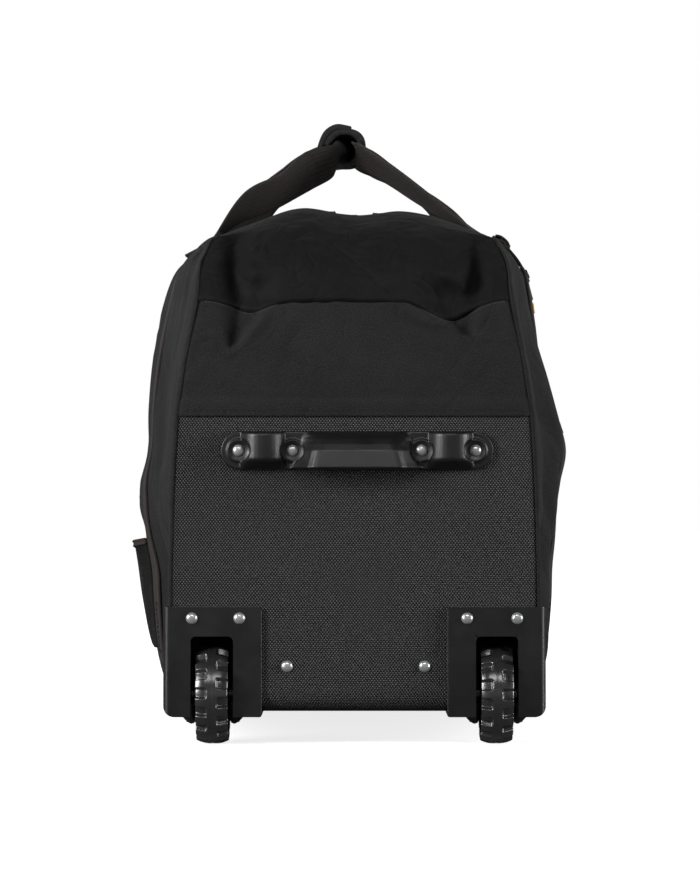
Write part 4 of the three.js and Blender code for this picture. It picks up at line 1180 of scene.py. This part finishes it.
class HOLDALL_OT_wrap(bpy.types.Operator):
    """Roll the padded wrap round the two straps"""
    bl_idname = "holdall.wrap"
    bl_label = "Rolled wrap"

    def execute(self, context):
        half_length = 70.0
        first_turn, rolled = 170, 452
        tilt = Matrix.Rotation(math.radians(WRAP_TILT), 4, "X")

        def square(value):
            return math.copysign(abs(value) ** 0.78, value)

        def place(u, v):
            turn = first_turn - rolled * u
            angle = math.radians(turn)
            lift = 1.2 + 4.8 * smooth(u, 0.66, 0.8) - 2.6 * smooth(u, 0.93, 1.0)
            y = lerp(-half_length, half_length, v)
            flare = smooth(abs(2 * v - 1), 0.45, 1.0)
            x = (lerp(9.4, 14.6, flare) + lift) * square(math.cos(angle))
            z = (lerp(9.2, 14.2, flare) + lift) * square(math.sin(angle))
            near = smooth(0.3 - v, 0, 0.3)
            tab = near * bump((turn - 215 + 180) % 360 - 180, 34)
            y += 3.0 * noise.noise(Vector((x / 16, 0.3, z / 16))) * flare
            y += 70.0 * near * bump((turn + 82 + 180) % 360 - 180, 52)
            point = tilt @ Vector((x, y, z)) + WRAP
            return point + tab * Vector((-9, -14, -8))

        def relief(u, v, point):
            return 1.4 * ruffle(point, 26, 7)

        bm = face_away(cloth(80, 46, place, relief), WRAP)
        piece = band_piece("rolled_wrap", bm, "pad", context.scene.holdall_sizes.wrap, ["handle_wrap"])
        soft = piece.modifiers.new("soft", "SUBSURF")
        soft.levels = 1
        soft.render_levels = 1
        return {"FINISHED"}


class HOLDALL_OT_haul_loop(bpy.types.Operator):
    """Build the plain webbing loop of the far end"""
    bl_idname = "holdall.haul_loop"
    bl_label = "Haul loop"

    def execute(self, context):
        height = 262.0
        flat = FAR_Y + 9.3
        keys = [Vector((x, flat + out, height)) for x, out in (
            (-95, 0), (-80, 0), (-66, 0.4), (-48, 9), (-25, 15), (0, 17), (25, 15), (48, 9), (66, 0.4),
            (80, 0), (95, 0))]
        points = [curve_through(keys, i / 120) for i in range(121)]
        bm = band(points, [Vector((0, 0, 1))] * 121, STRAP_WIDTH, 12, lambda u, v: 0.7 * (2 * v - 1) ** 2)
        band_piece("haul_webbing", bm, "webbing", context.scene.holdall_sizes.strap, ["haul_loop"])
        return {"FINISHED"}


class HOLDALL_OT_pocket(bpy.types.Operator):
    """Build the low pocket of the left side with its bound mouth"""
    bl_idname = "holdall.pocket"
    bl_label = "Side pocket"

    @staticmethod
    def point(u, v, extra=0.0):
        gusset = 0.05
        level = lerp(POCKET_LOW, POCKET_TOP, v)
        y = lerp(-POCKET_HALF, POCKET_HALF, u)
        stand = clamp(min(u, 1 - u) / gusset)
        gape = stand * lerp(POCKET_GAPE, POCKET_REST, smooth(u, 2 * gusset, 0.4))
        sag = 0.9 * noise.noise(Vector((y / 40, v * 2, 4.0))) * v
        depth = 1.9 + gape * (0.15 + 0.85 * v ** 0.5) + sag * stand + extra
        return side_point(-1, y, level) + side_normal(-1, y, level) * depth

    def execute(self, context):
        inside = Vector((0, 0, 100))
        bm = cloth(150, 28, self.point)
        thickness = context.scene.holdall_sizes.canvas
        wall_piece("pocket_pouch", bm, "top", ["side_pocket_left"], thickness, inside)
        points = [self.point(i / 150, 0.972, 0.4) for i in range(151)]
        tops = [self.point(i / 150, 1.0) - self.point(i / 150, 0.9) for i in range(151)]
        bm = face_away(band(points, tops, 5.0, 8, lambda u, v: -1.1 * (2 * v - 1) ** 2), inside)
        band_piece("pocket_binding", bm, "binding", BINDING_THICK)
        return {"FINISHED"}


# Zips

def zip_teeth(bm, points, widths, pitch):
    """Two rows of interlocked coils along the middle of a zip."""
    frames = frames_along(points, widths)
    travelled = 0.0
    count = 0
    for (point, along, across, face), (following, *_rest) in zip(frames, frames[1:]):
        step = (following - point).length
        while count * pitch <= travelled + step:
            middle = point.lerp(following, (count * pitch - travelled) / max(step, 1e-6))
            matrix = frame_matrix(middle, along, across, face)
            for sign in (-1, 1):
                shift = 0.25 * pitch * sign
                box_piece(bm, (shift, sign * 1.15, 0.95), TOOTH, 0.3, matrix)
            count += 1
        travelled += step


def zip_slider(bm, matrix):
    """A slider: a body that narrows to its neck, with a bridge on top."""
    box_piece(bm, (0, 0, 1.9), SLIDER_BODY, 0.8, matrix, 2, neck=0.62)
    return box_piece(bm, (0, 0, 4.2), SLIDER_BRIDGE, 0.6, matrix, 2)


def pull_tab(bm, matrix, length, width, thickness):
    """A flat pull, round at both ends and narrower at its foot, with a raised face inset in it."""
    part = bmesh.new()
    bmesh.ops.create_circle(part, cap_ends=True, segments=24, radius=width / 2)
    for vert in part.verts:
        vert.co.x += length - width / 2 if vert.co.x > 0 else width / 2
        if vert.co.x < length / 2:
            vert.co.y *= 0.75
    face = part.faces[:]
    bmesh.ops.inset_region(part, faces=face, thickness=0.9, depth=0.0)
    bmesh.ops.translate(part, vec=(0, 0, 0.35), verts=face[0].verts)
    bmesh.ops.solidify(part, geom=part.faces[:], thickness=thickness)
    bmesh.ops.recalc_face_normals(part, faces=part.faces)
    bmesh.ops.transform(part, matrix=matrix, verts=part.verts)
    return joined(bm, part)


class HOLDALL_OT_zips(bpy.types.Operator):
    """Build the main zip of the top and the curved zip of the right side"""
    bl_idname = "holdall.zips"
    bl_label = "Zips"

    def execute(self, context):
        pitch = context.scene.holdall_sizes.tooth_pitch / MM
        self.main_zip(pitch)
        self.side_zip(pitch)
        return {"FINISHED"}

    @staticmethod
    def tape(node, points, widths, breadth, thickness, pitch):
        """The tape of a zip and the two rows of teeth along its middle."""
        bm = face_away(band(points, widths, breadth, 10), INSIDE)
        band_piece(f"{node}_tape", bm, "zip_tape", thickness, [node])
        bm = bmesh.new()
        zip_teeth(bm, points, [-width for width in widths], pitch)
        add_piece(f"{node}_teeth", bm, "zip_teeth")

    def main_zip(self, pitch):
        stations = 2 * TOP_HALF
        steps = 140
        points = []
        for i in range(steps + 1):
            point = top_point(lerp(ZIP_START + 0.02, stations - ZIP_START - 0.02, i / steps), 0)
            points.append(point + Vector((0, 0, -1.0)))
        widths = [Vector((1, 0, 0))] * len(points)
        self.tape("main_zip", points, widths, 2 * ZIP_HALF, MAIN_TAPE_THICK, pitch)
        at = round(steps * 13 / 14)
        along = (points[at + 1] - points[at - 1]).normalized()
        across = Vector((0, 0, 1)).cross(along).normalized()
        matrix = frame_matrix(points[at], -along, -across, along.cross(across))
        bm = zip_slider(bmesh.new(), matrix)
        pull = frame_matrix(points[at] + matrix.col[2].xyz * 5.4, -along, -across, matrix.col[2].xyz)
        pull_tab(bm, pull, 40.0, 8.0, 1.4)
        add_piece("main_zip_runner", bm, "zip_teeth", ["main_zip_slider"])

    def side_zip(self, pitch):
        steps = 170

        def centre(t):
            y, level = side_zip_place(t)
            normal = side_normal(1, y, level)
            return side_point(1, y, level) + normal * 1.7, normal

        points, widths = [], []
        for i in range(steps + 1):
            t = lerp(-1, 1, i / steps)
            point, normal = centre(t)
            along = centre(min(t + 0.01, 1))[0] - centre(max(t - 0.01, -1))[0]
            points.append(point)
            widths.append(normal.cross(along))
        self.tape("side_zip", points, widths, SIDE_ZIP_WIDTH, SIDE_TAPE_THICK, pitch)

        y, level = side_zip_place(SIDE_SLIDER_AT)
        point, normal = centre(SIDE_SLIDER_AT)
        down = (side_point(1, y, level - 0.4) - side_point(1, y, level)).normalized()
        across = normal.cross(down).normalized()
        matrix = frame_matrix(point, down, across, normal)
        bm = zip_slider(bmesh.new(), matrix)
        add_piece("side_zip_runner", bm, "zip_teeth", ["side_zip_slider"])
        for name, finish, start, reach, width, thick, node in (
                ("side_zip_tab", "zip_teeth", 0.2, 17.0, 5.0, 1.6, "side_zip_pull"),
                ("side_zip_bright_tip", "pull_tip", 0.8, 9.0, 5.0, 2.4, "side_zip_pull_tip")):
            begin, face = self.on_side(y, level - start)
            end = self.on_side(y, level - start - 0.5)[0]
            down = (end - begin).normalized()
            across = face.cross(down).normalized()
            matrix = frame_matrix(begin, down, across, down.cross(across))
            add_piece(name, pull_tab(bmesh.new(), matrix, reach, width, thick), finish, [node])

    @staticmethod
    def on_side(y, level):
        """A point just off the right side, and the direction that it faces."""
        face = side_normal(1, y, level)
        return side_point(1, y, level) + face * 3.2, face


# Mouldings

class HOLDALL_OT_grab_handle(bpy.types.Operator):
    """Mould the handle of the wheel end: a plate with ring seats, two humps and a hooded grip"""
    bl_idname = "holdall.grab_handle"
    bl_label = "Grab handle"

    radius = 15.2
    half = 109.0
    hump_half = 18.0
    hump_places = (-75.0, 75.0)
    voxel = 0.00072
    # Rings of each form from its top to its foot: height, reach and width
    hump = ((radius - 0.6, 12.5, 0.94), (radius - 2.4, 14, 0.96), (-radius + 8.5, 14, 1.0),
            (-radius + 6.5, 12.6, 1.0), (-radius + 0.6, 1.4, 1.08))
    grip = ((radius - 0.6, 3, 44), (radius - 3, 8.6, 45.6), (radius - 6, 12.4, 47),
            (radius - 10, 15.6, 48.6), (0, 18.5, 51), (-radius + 5, 20.6, 53.6), (-radius + 1, 21.4, 55))
    hollow = ((radius - 7, 7, 40), (radius - 11, 11.5, 42.5), (0, 14.5, 45), (-radius - 3, 18.2, 51))

    def hump_ring(self, z, rise, grow):
        half = self.hump_half
        ring = []
        for i in range(-8, 9):
            x = half * math.sin(math.pi / 2 * i / 8)
            ring.append(Vector((x * grow, -PLATE_THICK + 0.6 - rise * (1 - (x / half) ** 2) ** 0.55, z)))
        return ring

    def grip_ring(self, z, reach, half_top, inner=False):
        back = -PLATE_THICK + (0.3 if inner else 0.6)
        steps = ((0, 0), (4, 0.13), (9, 0.42), (15, 0.8), (19, 0.95), (23, 1))
        left = [Vector((-(half_top - step), back - reach * share, z)) for step, share in steps]
        right = [Vector((half_top - step, back - reach * share, z)) for step, share in reversed(steps)]
        return left + right

    def execute(self, context):
        radius = self.radius
        bm = bmesh.new()
        bmesh.ops.create_circle(bm, cap_ends=True, segments=64, radius=radius)
        for vert in bm.verts:
            vert.co.x += math.copysign(self.half - radius, vert.co.x)
        bmesh.ops.rotate(bm, cent=(0, 0, 0), matrix=Matrix.Rotation(math.pi / 2, 3, "X"), verts=bm.verts)
        bmesh.ops.solidify(bm, geom=bm.faces[:], thickness=PLATE_THICK)
        low = min(vert.co.y for vert in bm.verts)
        bmesh.ops.translate(bm, vec=(0, -PLATE_THICK - low, 0), verts=bm.verts)
        bmesh.ops.recalc_face_normals(bm, faces=bm.faces)
        plate = self.scratch("plate", bm)

        raised = bmesh.new()
        for x in self.hump_places:
            part = loft(bmesh.new(), [self.hump_ring(*row) for row in self.hump])
            bmesh.ops.translate(part, vec=(x, 0, 0), verts=part.verts)
            joined(raised, part)
        joined(raised, loft(bmesh.new(), [self.grip_ring(*row) for row in self.grip]))
        raised = self.scratch("raised", raised)

        seats = bmesh.new()
        for x in SEAT_PLACES:
            bmesh.ops.create_cone(seats, cap_ends=True, segments=48, radius1=9.4, radius2=10.6, depth=40,
                                  matrix=laid((x, -PLATE_THICK - 18.4, 0), "X"))
        seats = self.scratch("seats", seats)
        hollow = loft(bmesh.new(), [self.grip_ring(*row, inner=True) for row in self.hollow])
        hollow = self.scratch("hollow", hollow)

        rings = bmesh.new()
        for x in SEAT_PLACES:
            for ring, rise in ((8.2, 1.5), (6.3, 0.7)):
                profile = [(ring - 0.9, -1.0), (ring - 0.9, rise * 0.6), (ring - 0.4, rise),
                           (ring + 0.4, rise), (ring + 0.9, rise * 0.6), (ring + 0.9, -1.0),
                           (ring - 0.9, -1.0)]
                joined(rings, turned(bmesh.new(), profile, 48, laid((x, -PLATE_THICK, 0), "X")))
        rings = self.scratch("rings", rings)

        for operation, other, target in (("DIFFERENCE", seats, raised), ("UNION", raised, plate),
                                         ("UNION", rings, plate), ("DIFFERENCE", hollow, plate)):
            step = target.modifiers.new("step", "BOOLEAN")
            step.operation = operation
            step.object = other
            step.solver = "EXACT"
            step.use_self = other is rings
            baked(target)
        remesh = plate.modifiers.new("even", "REMESH")
        remesh.mode = "VOXEL"
        remesh.voxel_size = self.voxel
        ease = plate.modifiers.new("ease", "SMOOTH")
        ease.factor = 0.5
        ease.iterations = 5
        baked(plate)
        mesh = plate.data
        mesh.transform(Matrix.Translation(Vector((HANDLE_X, PLATE_FACE, HANDLE_Z)) * MM))
        for tool in (raised, seats, hollow, rings, plate):
            bpy.data.objects.remove(tool)
        add_mesh("moulded_handle", mesh, "moulding", ["grab_handle"])
        return {"FINISHED"}

    @staticmethod
    def scratch(name, bm):
        """A tool object for the mould's cuts, removed when the handle is done."""
        return as_object(name, as_mesh(name, bm))


class HOLDALL_OT_wheel_corners(bpy.types.Operator):
    """Round the edges of the moulded wheel corners and add the tapered bosses of the axles"""
    bl_idname = "holdall.wheel_corners"
    bl_label = "Wheel corners"

    boss = ((3.6, 17.2), (23.8, 17.2), (24.4, 17.8), (23.2, 20.0), (21.0, 22.6), (18.6, 24.6), (16.0, 25.2),
            (3.6, 25.2), (3.6, 17.2))
    cup = ((8.0, 13.9), (21.6, 13.9), (23.4, 14.7), (24.2, 16.2), (24.4, 17.8), (8.0, 17.8), (8.0, 13.9))
    slot_half = 17.0
    slot_round = 4.3
    edge_round = 0.8
    axle_room = 7.0

    def on_roof(self, edge, middle):
        """Whether an edge runs along a top corner of the wheel's slot."""
        a, b = (vert.co / MM for vert in edge.verts)
        beside = all(abs(abs(point.x - middle) - self.slot_half) < 1.2 and point.z > 80 for point in (a, b))
        return beside and abs(a.y - b.y) > 2 and abs(a.z - b.z) < 0.5 and a.z < 95

    def execute(self, context):
        for name in ("housing_left", "housing_right"):
            bm = bmesh.new()
            bm.from_mesh(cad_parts[name].data)
            bmesh.ops.remove_doubles(bm, verts=bm.verts, dist=1e-6)
            bmesh.ops.dissolve_limit(bm, angle_limit=math.radians(1.0), verts=bm.verts, edges=bm.edges)
            middle = WHEEL_X * (-1 if name.endswith("left") else 1)
            roof = [edge for edge in bm.edges if self.on_roof(edge, middle)]
            round_edges(bm, roof, self.slot_round * MM, 6)
            sharp = [edge for edge in bm.edges
                     if edge.is_manifold and edge.calc_face_angle() > math.radians(28)]
            round_edges(bm, sharp, self.edge_round * MM, 3, clamp_overlap=True)
            bmesh.ops.triangulate(bm, faces=[face for face in bm.faces if len(face.verts) > 4])
            for sign in (-1, 1):
                matrix = laid((middle, WHEEL_Y, AXLE_HEIGHT), "Y", sign)
                boss = turned(bmesh.new(), self.boss, 48, matrix)
                cup = turned(bmesh.new(), self.cup, 48, matrix)
                cut(cup, (0, 0, AXLE_HEIGHT - self.axle_room), (0, 0, 1), clear=True)
                bmesh.ops.holes_fill(cup, edges=[edge for edge in cup.edges if edge.is_boundary])
                joined(boss, cup)
                bmesh.ops.scale(boss, vec=(MM, MM, MM), verts=boss.verts)
                joined(bm, boss)
            piece_name = name.replace("housing", "wheel_corner")
            corner = add_mesh(piece_name, as_mesh(piece_name, bm, 1.0), "moulding", [name])
            corner.data.set_sharp_from_angle(angle=math.radians(40))
            even = corner.modifiers.new("even", "WEIGHTED_NORMAL")
            even.keep_sharp = True
            even.weight = 100
        return {"FINISHED"}


class HOLDALL_OT_wheels(bpy.types.Operator):
    """Mould the two wheels with their staggered tread pockets"""
    bl_idname = "holdall.wheels"
    bl_label = "Wheels"

    pockets = 16
    phases = {"left": 0.68, "right": 0.1}
    # A pocket's start, end and wall as shares of its turn, and the half width of the rib beside it
    pocket_start = 0.22
    pocket_end = 0.78
    pocket_wall = 0.035
    rib_half = 3.6
    rib_foot = 4.5
    side_share = 0.1
    hub_radius = 31.5

    def tread(self, sizes, phase):
        radius = sizes.wheel_radius / MM
        half = sizes.wheel_half / MM
        deep = sizes.tread_depth / MM
        start, end, wall = self.pocket_start, self.pocket_end, self.pocket_wall
        side_share = self.side_share
        around, across = self.pockets * 24, 56

        def place(u, v):
            angle = 2 * math.pi * u
            s = clamp((v - side_share) / (1 - 2 * side_share))
            x = lerp(-half, half, s)
            crown = radius - 2.6 * clamp((abs(x) - 3.5) / (half - 3.5)) ** 2
            beat = (u * self.pockets + phase + (0.5 if x > 0 else 0.0)) % 1.0
            in_turn = smooth(beat, start, start + wall) * (1 - smooth(beat, end - wall, end))
            corner = 1.2 * (2 * abs(beat - 0.5) / 0.6) ** 4
            in_width = smooth(abs(x), self.rib_half + corner, self.rib_foot + corner)
            rib_groove = 0.35 * bump(x, 0.5)
            r = crown - deep * in_turn * in_width - rib_groove
            outer = min(v, 1 - v)
            if outer < side_share:
                r = lerp(self.hub_radius, r, (outer / side_share) ** 0.8)
                x = math.copysign(half - 0.6 * math.sin(math.pi / 2 * (1 - outer / side_share)), v - 0.5)
            return Vector((x, r * math.cos(angle), r * math.sin(angle)))

        bm = cloth(around, across, place)
        bmesh.ops.remove_doubles(bm, verts=bm.verts, dist=1e-3)
        bmesh.ops.recalc_face_normals(bm, faces=bm.faces)
        return bm

    def hub(self, sizes):
        half = sizes.wheel_half / MM
        sunk = [(31.6, 0.2), (30.2, 0.9), (29.4, 2.2), (27.4, 2.6), (26.4, 3.4), (24.0, 4.4), (14.0, 4.6),
                (10.6, 3.6), (9.6, 0.9), (8.8, 0.4), (5.4, 0.4), (4.6, 0.8), (3.5, 1.0)]
        face = [(radius, half - depth) for radius, depth in sunk]
        profile = face + [(radius, -height) for radius, height in reversed(face)]
        return turned(bmesh.new(), profile, 64, Matrix.Rotation(math.pi / 2, 4, "Y"))

    def execute(self, context):
        sizes = context.scene.holdall_sizes
        for side, name in ((-1, "left"), (1, "right")):
            bm = joined(self.tread(sizes, self.phases[name]), self.hub(sizes))
            bmesh.ops.translate(bm, vec=(side * WHEEL_X, WHEEL_Y, AXLE_HEIGHT), verts=bm.verts)
            add_piece(f"moulded_wheel_{name}", bm, "tyre", [f"wheel_{name}"], f"wheel_{name}")
        return {"FINISHED"}


class HOLDALL_OT_rivets(bpy.types.Operator):
    """Turn the rivets and the axle pins"""
    bl_idname = "holdall.rivets"
    bl_label = "Rivets and pins"

    def execute(self, context):
        head = context.scene.holdall_sizes.rivet_radius / MM
        profile = [(0.0, 2.7), (0.9, 2.66), (1.9, 2.5), (2.9, 2.16), (3.7, 1.66), (4.25, 1.05),
                   (head - 0.1, 0.62), (head, 0.36), (head - 0.15, 0.1), (2.2, 0.0), (2.1, -3.4),
                   (0.0, -3.4)]
        for name, (x, z, seat) in RIVETS.items():
            y = NEAR_Y - seat - (0.3 if seat else 0.0)
            head_piece = turned(bmesh.new(), profile, 32, laid((x, y, z), "X"))
            add_piece(f"domed_{name}", head_piece, "zinc", [name])
        pin = [(0.0, 24.2), (4.2, 24.0), (5.2, 23.4), (5.5, 22.6), (5.2, 22.0), (3.0, 21.8), (2.95, -21.8),
               (5.2, -22.0), (5.5, -22.6), (5.2, -23.4), (4.2, -24.0), (0.0, -24.2)]
        for side, name in ((-1, "axle_left"), (1, "axle_right")):
            matrix = laid((side * WHEEL_X, WHEEL_Y, AXLE_HEIGHT), "Y")
            add_piece(f"pin_{name}", turned(bmesh.new(), pin, 32, matrix), "zinc", [name])
        return {"FINISHED"}


# Sewing

def stitch_row(bm, points, normals, stitch):
    """Short threads laid end to end along a line on a surface."""
    pitch = stitch * 1.4
    travelled = 0.0
    count = 0
    for i, (a, b) in enumerate(zip(points, points[1:])):
        step = (b - a).length
        if step < 1e-6:
            continue
        along = (b - a).normalized()
        while (count + 0.5) * pitch <= travelled + step:
            middle = a.lerp(b, ((count + 0.5) * pitch - travelled) / step)
            normal = (normals[i] - along * normals[i].dot(along)).normalized()
            matrix = frame_matrix(middle + normal * 0.12, along, normal.cross(along), normal)
            matrix = matrix @ Matrix.Diagonal((stitch / 2, *THREAD_HALF, 1.0))
            bmesh.ops.create_icosphere(bm, subdivisions=1, radius=1.0, matrix=matrix)
            count += 1
        travelled += step


def box_and_cross(left, right, low, high):
    """Corners of a sewn box, with the cross inside it, in the order of sewing."""
    return [(left, low), (right, low), (right, high), (left, high), (left, low), (right, high),
            (left, high), (right, low)]


class HOLDALL_OT_sewing(bpy.types.Operator):
    """Lay the rows of stitches along the seams, hems, zips and strap feet"""
    bl_idname = "holdall.sewing"
    bl_label = "Sewing"

    def execute(self, context):
        stitch = context.scene.holdall_sizes.stitch / MM
        bm = bmesh.new()
        out = Vector((0, -1, 0))
        hem = WEAVE_TOP + 3.6
        half = sample(LEVELS, "end_half", level_at(hem)) - 8
        row = [Vector((lerp(-half, half, i / 60), NEAR_Y - 1.5, BASE_RISE + hem)) for i in range(61)]
        stitch_row(bm, row, [out] * 61, stitch)
        for side in (-1, 1):
            for y in (STRAP_NEAR_Y, STRAP_FAR_Y):
                self.box_row(bm, side, y, stitch)
        back = Vector((0, 1, 0))
        for side in (-1, 1):
            row = [Vector((side * x, FAR_Y + 10.5, z)) for x, z in box_and_cross(70, 92, 277, 247)]
            stitch_row(bm, row, [back] * len(row), stitch)
        stations = 2 * TOP_HALF
        for sign in (-1, 1):
            row = []
            for i in range(141):
                point = top_point(lerp(ZIP_START, stations - ZIP_START, i / 140), sign * 0.138)
                row.append(point + Vector((0, 0, 0.9)))
            stitch_row(bm, row, [Vector((0, 0, 1))] * 141, stitch)
        add_piece("stitching", bm, "thread")
        return {"FINISHED"}

    @staticmethod
    def box_row(bm, side, y, stitch):
        """A sewn box with a cross on the foot of a strap."""
        corners = box_and_cross(-15, 15, 3.0, 3.9)
        row, normals = [], []
        for (a_y, a_level), (b_y, b_level) in zip(corners, corners[1:]):
            for i in range(8):
                level = lerp(a_level, b_level, i / 8)
                place_y = y + lerp(a_y, b_y, i / 8)
                normal = side_normal(side, y, level)
                off_side = normal * (LEG_OFFSET + 0.75) + Vector((0, place_y - y, 0))
                row.append(side_point(side, y, level) + off_side)
                normals.append(normal)
        stitch_row(bm, row, normals, stitch)


# Stage

class HOLDALL_OT_stage(bpy.types.Operator):
    """Set the camera, the soft lights and the pale floor"""
    bl_idname = "holdall.stage"
    bl_label = "Stage"

    lens = 134.6
    camera_place = Vector((-0.0036, -2.993, 0.204))
    pitch = 0.978
    # Soft boxes with their place, target, size and power
    lights = {
        "left_box": ((-2.1, -1.7, 0.95), (0, -0.35, 0.25), (0.7, 1.3), 54),
        "right_box": ((2.5, -1.0, 0.6), (0, -0.3, 0.25), (0.7, 1.3), 36),
        "top_box": ((0.1, -2.6, 1.9), (0, -0.35, 0.25), (2.0, 0.6), 17),
        "back_left_box": ((-1.9, 2.3, 1.7), (0, 0.2, 0.25), (1.2, 1.2), 16),
        "back_right_box": ((1.9, 2.3, 1.7), (0, 0.2, 0.25), (1.2, 1.2), 16),
    }

    def execute(self, context):
        scene = context.scene
        camera = as_object("camera", bpy.data.cameras.new("camera"))
        camera.data.lens = self.lens
        camera.data.sensor_width = 36.0
        camera.location = self.camera_place
        camera.rotation_euler = (math.radians(90 + self.pitch), 0, 0)
        scene.camera = camera
        scene.view_settings.view_transform = "Standard"

        bm = bmesh.new()
        bmesh.ops.create_grid(bm, x_segments=8, y_segments=8, size=9.0)
        bmesh.ops.translate(bm, vec=(0, 4.0, -0.0004), verts=bm.verts)
        floor = as_object("floor", as_mesh("floor", bm, 1.0))
        made, tree, shader = blank_material("floor_white")
        vector = add_node(tree, "ShaderNodeTexCoord").outputs["Object"]
        cloud = grains(tree, vector, 3.0).outputs["Fac"]
        tone = mix_colour(tree, cloud, (0.86, 0.86, 0.86, 1), (0.9, 0.9, 0.9, 1))
        seen = add_node(tree, "ShaderNodeLightPath").outputs["Is Camera Ray"]
        tree.links.new(mix_colour(tree, seen, (0.17, 0.17, 0.17, 1), tone), shader["Base Color"])
        shader["Roughness"].default_value = 0.9
        shader["Specular IOR Level"].default_value = 0.0
        shader["Emission Color"].default_value = (1, 1, 1, 1)
        reach = add_node(tree, "ShaderNodeVectorMath", {0: vector}, operation="LENGTH").outputs["Value"]
        glow = ranged(tree, reach, 0.8, 1.0, 0.5, 2.0)
        tree.links.new(maths(tree, "MULTIPLY", seen, glow), shader["Emission Strength"])
        floor.data.materials.append(made)
        for name, row in self.lights.items():
            self.light(name, *row)
        self.world(scene)
        return {"FINISHED"}

    @staticmethod
    def light(name, place, target, size, power):
        data = bpy.data.lights.new(name, "AREA")
        data.shape = "RECTANGLE"
        data.size, data.size_y = size
        data.energy = power
        lamp = as_object(name, data)
        lamp.location = place
        lamp.rotation_euler = (Vector(target) - Vector(place)).to_track_quat("-Z", "Y").to_euler()

    @staticmethod
    def world(scene):
        """White near the horizon and darker overhead, as in a white room with a dark ceiling."""
        world = bpy.data.worlds.new("white_room")
        world.use_nodes = True
        tree = world.node_tree
        background = tree.nodes["Background"]
        direction = add_node(tree, "ShaderNodeTexCoord").outputs["Generated"]
        height = add_node(tree, "ShaderNodeSeparateXYZ", {0: direction}).outputs["Z"]
        ramp = ranged(tree, height, 0.3, 0.02, 0.05, 0.5, "SMOOTHSTEP")
        seen = add_node(tree, "ShaderNodeLightPath").outputs["Is Camera Ray"]
        tree.links.new(maths(tree, "MAXIMUM", ramp, seen), background.inputs["Strength"])
        background.inputs["Color"].default_value = (1, 1, 1, 1)
        scene.world = world


class HOLDALL_PT_panel(bpy.types.Panel):
    """Lists the steps that build the bag"""
    bl_label = "Wheeled holdall"
    bl_idname = "HOLDALL_PT_panel"
    bl_space_type = "VIEW_3D"
    bl_region_type = "UI"
    bl_category = "Holdall"

    def draw(self, context):
        for operator in OPERATORS:
            self.layout.operator(operator.bl_idname)
        for group in (context.scene.holdall_sizes, context.scene.holdall_colours):
            box = self.layout.box()
            for name in group.bl_rna.properties.keys():
                if name not in {"rna_type", "name"}:
                    box.prop(group, name)


OPERATORS = (
    HOLDALL_OT_stage,
    HOLDALL_OT_woven_panels,
    HOLDALL_OT_end_cloth,
    HOLDALL_OT_side_cloth,
    HOLDALL_OT_top_cloth,
    HOLDALL_OT_straps,
    HOLDALL_OT_wrap,
    HOLDALL_OT_haul_loop,
    HOLDALL_OT_pocket,
    HOLDALL_OT_zips,
    HOLDALL_OT_grab_handle,
    HOLDALL_OT_wheel_corners,
    HOLDALL_OT_wheels,
    HOLDALL_OT_rivets,
    HOLDALL_OT_sewing,
)
CLASSES = (HoldallSizes, HoldallColours, *OPERATORS, HOLDALL_PT_panel)


def register():
    for each in CLASSES:
        bpy.utils.register_class(each)
    bpy.types.Scene.holdall_sizes = bpy.props.PointerProperty(type=HoldallSizes)
    bpy.types.Scene.holdall_colours = bpy.props.PointerProperty(type=HoldallColours)


def unregister():
    del bpy.types.Scene.holdall_colours
    del bpy.types.Scene.holdall_sizes
    for each in reversed(CLASSES):
        bpy.utils.unregister_class(each)


def main():
    register()
    for operator in OPERATORS:
        family, name = operator.bl_idname.split(".")
        getattr(getattr(bpy.ops, family), name)()


if __name__ == "__main__":
    main()
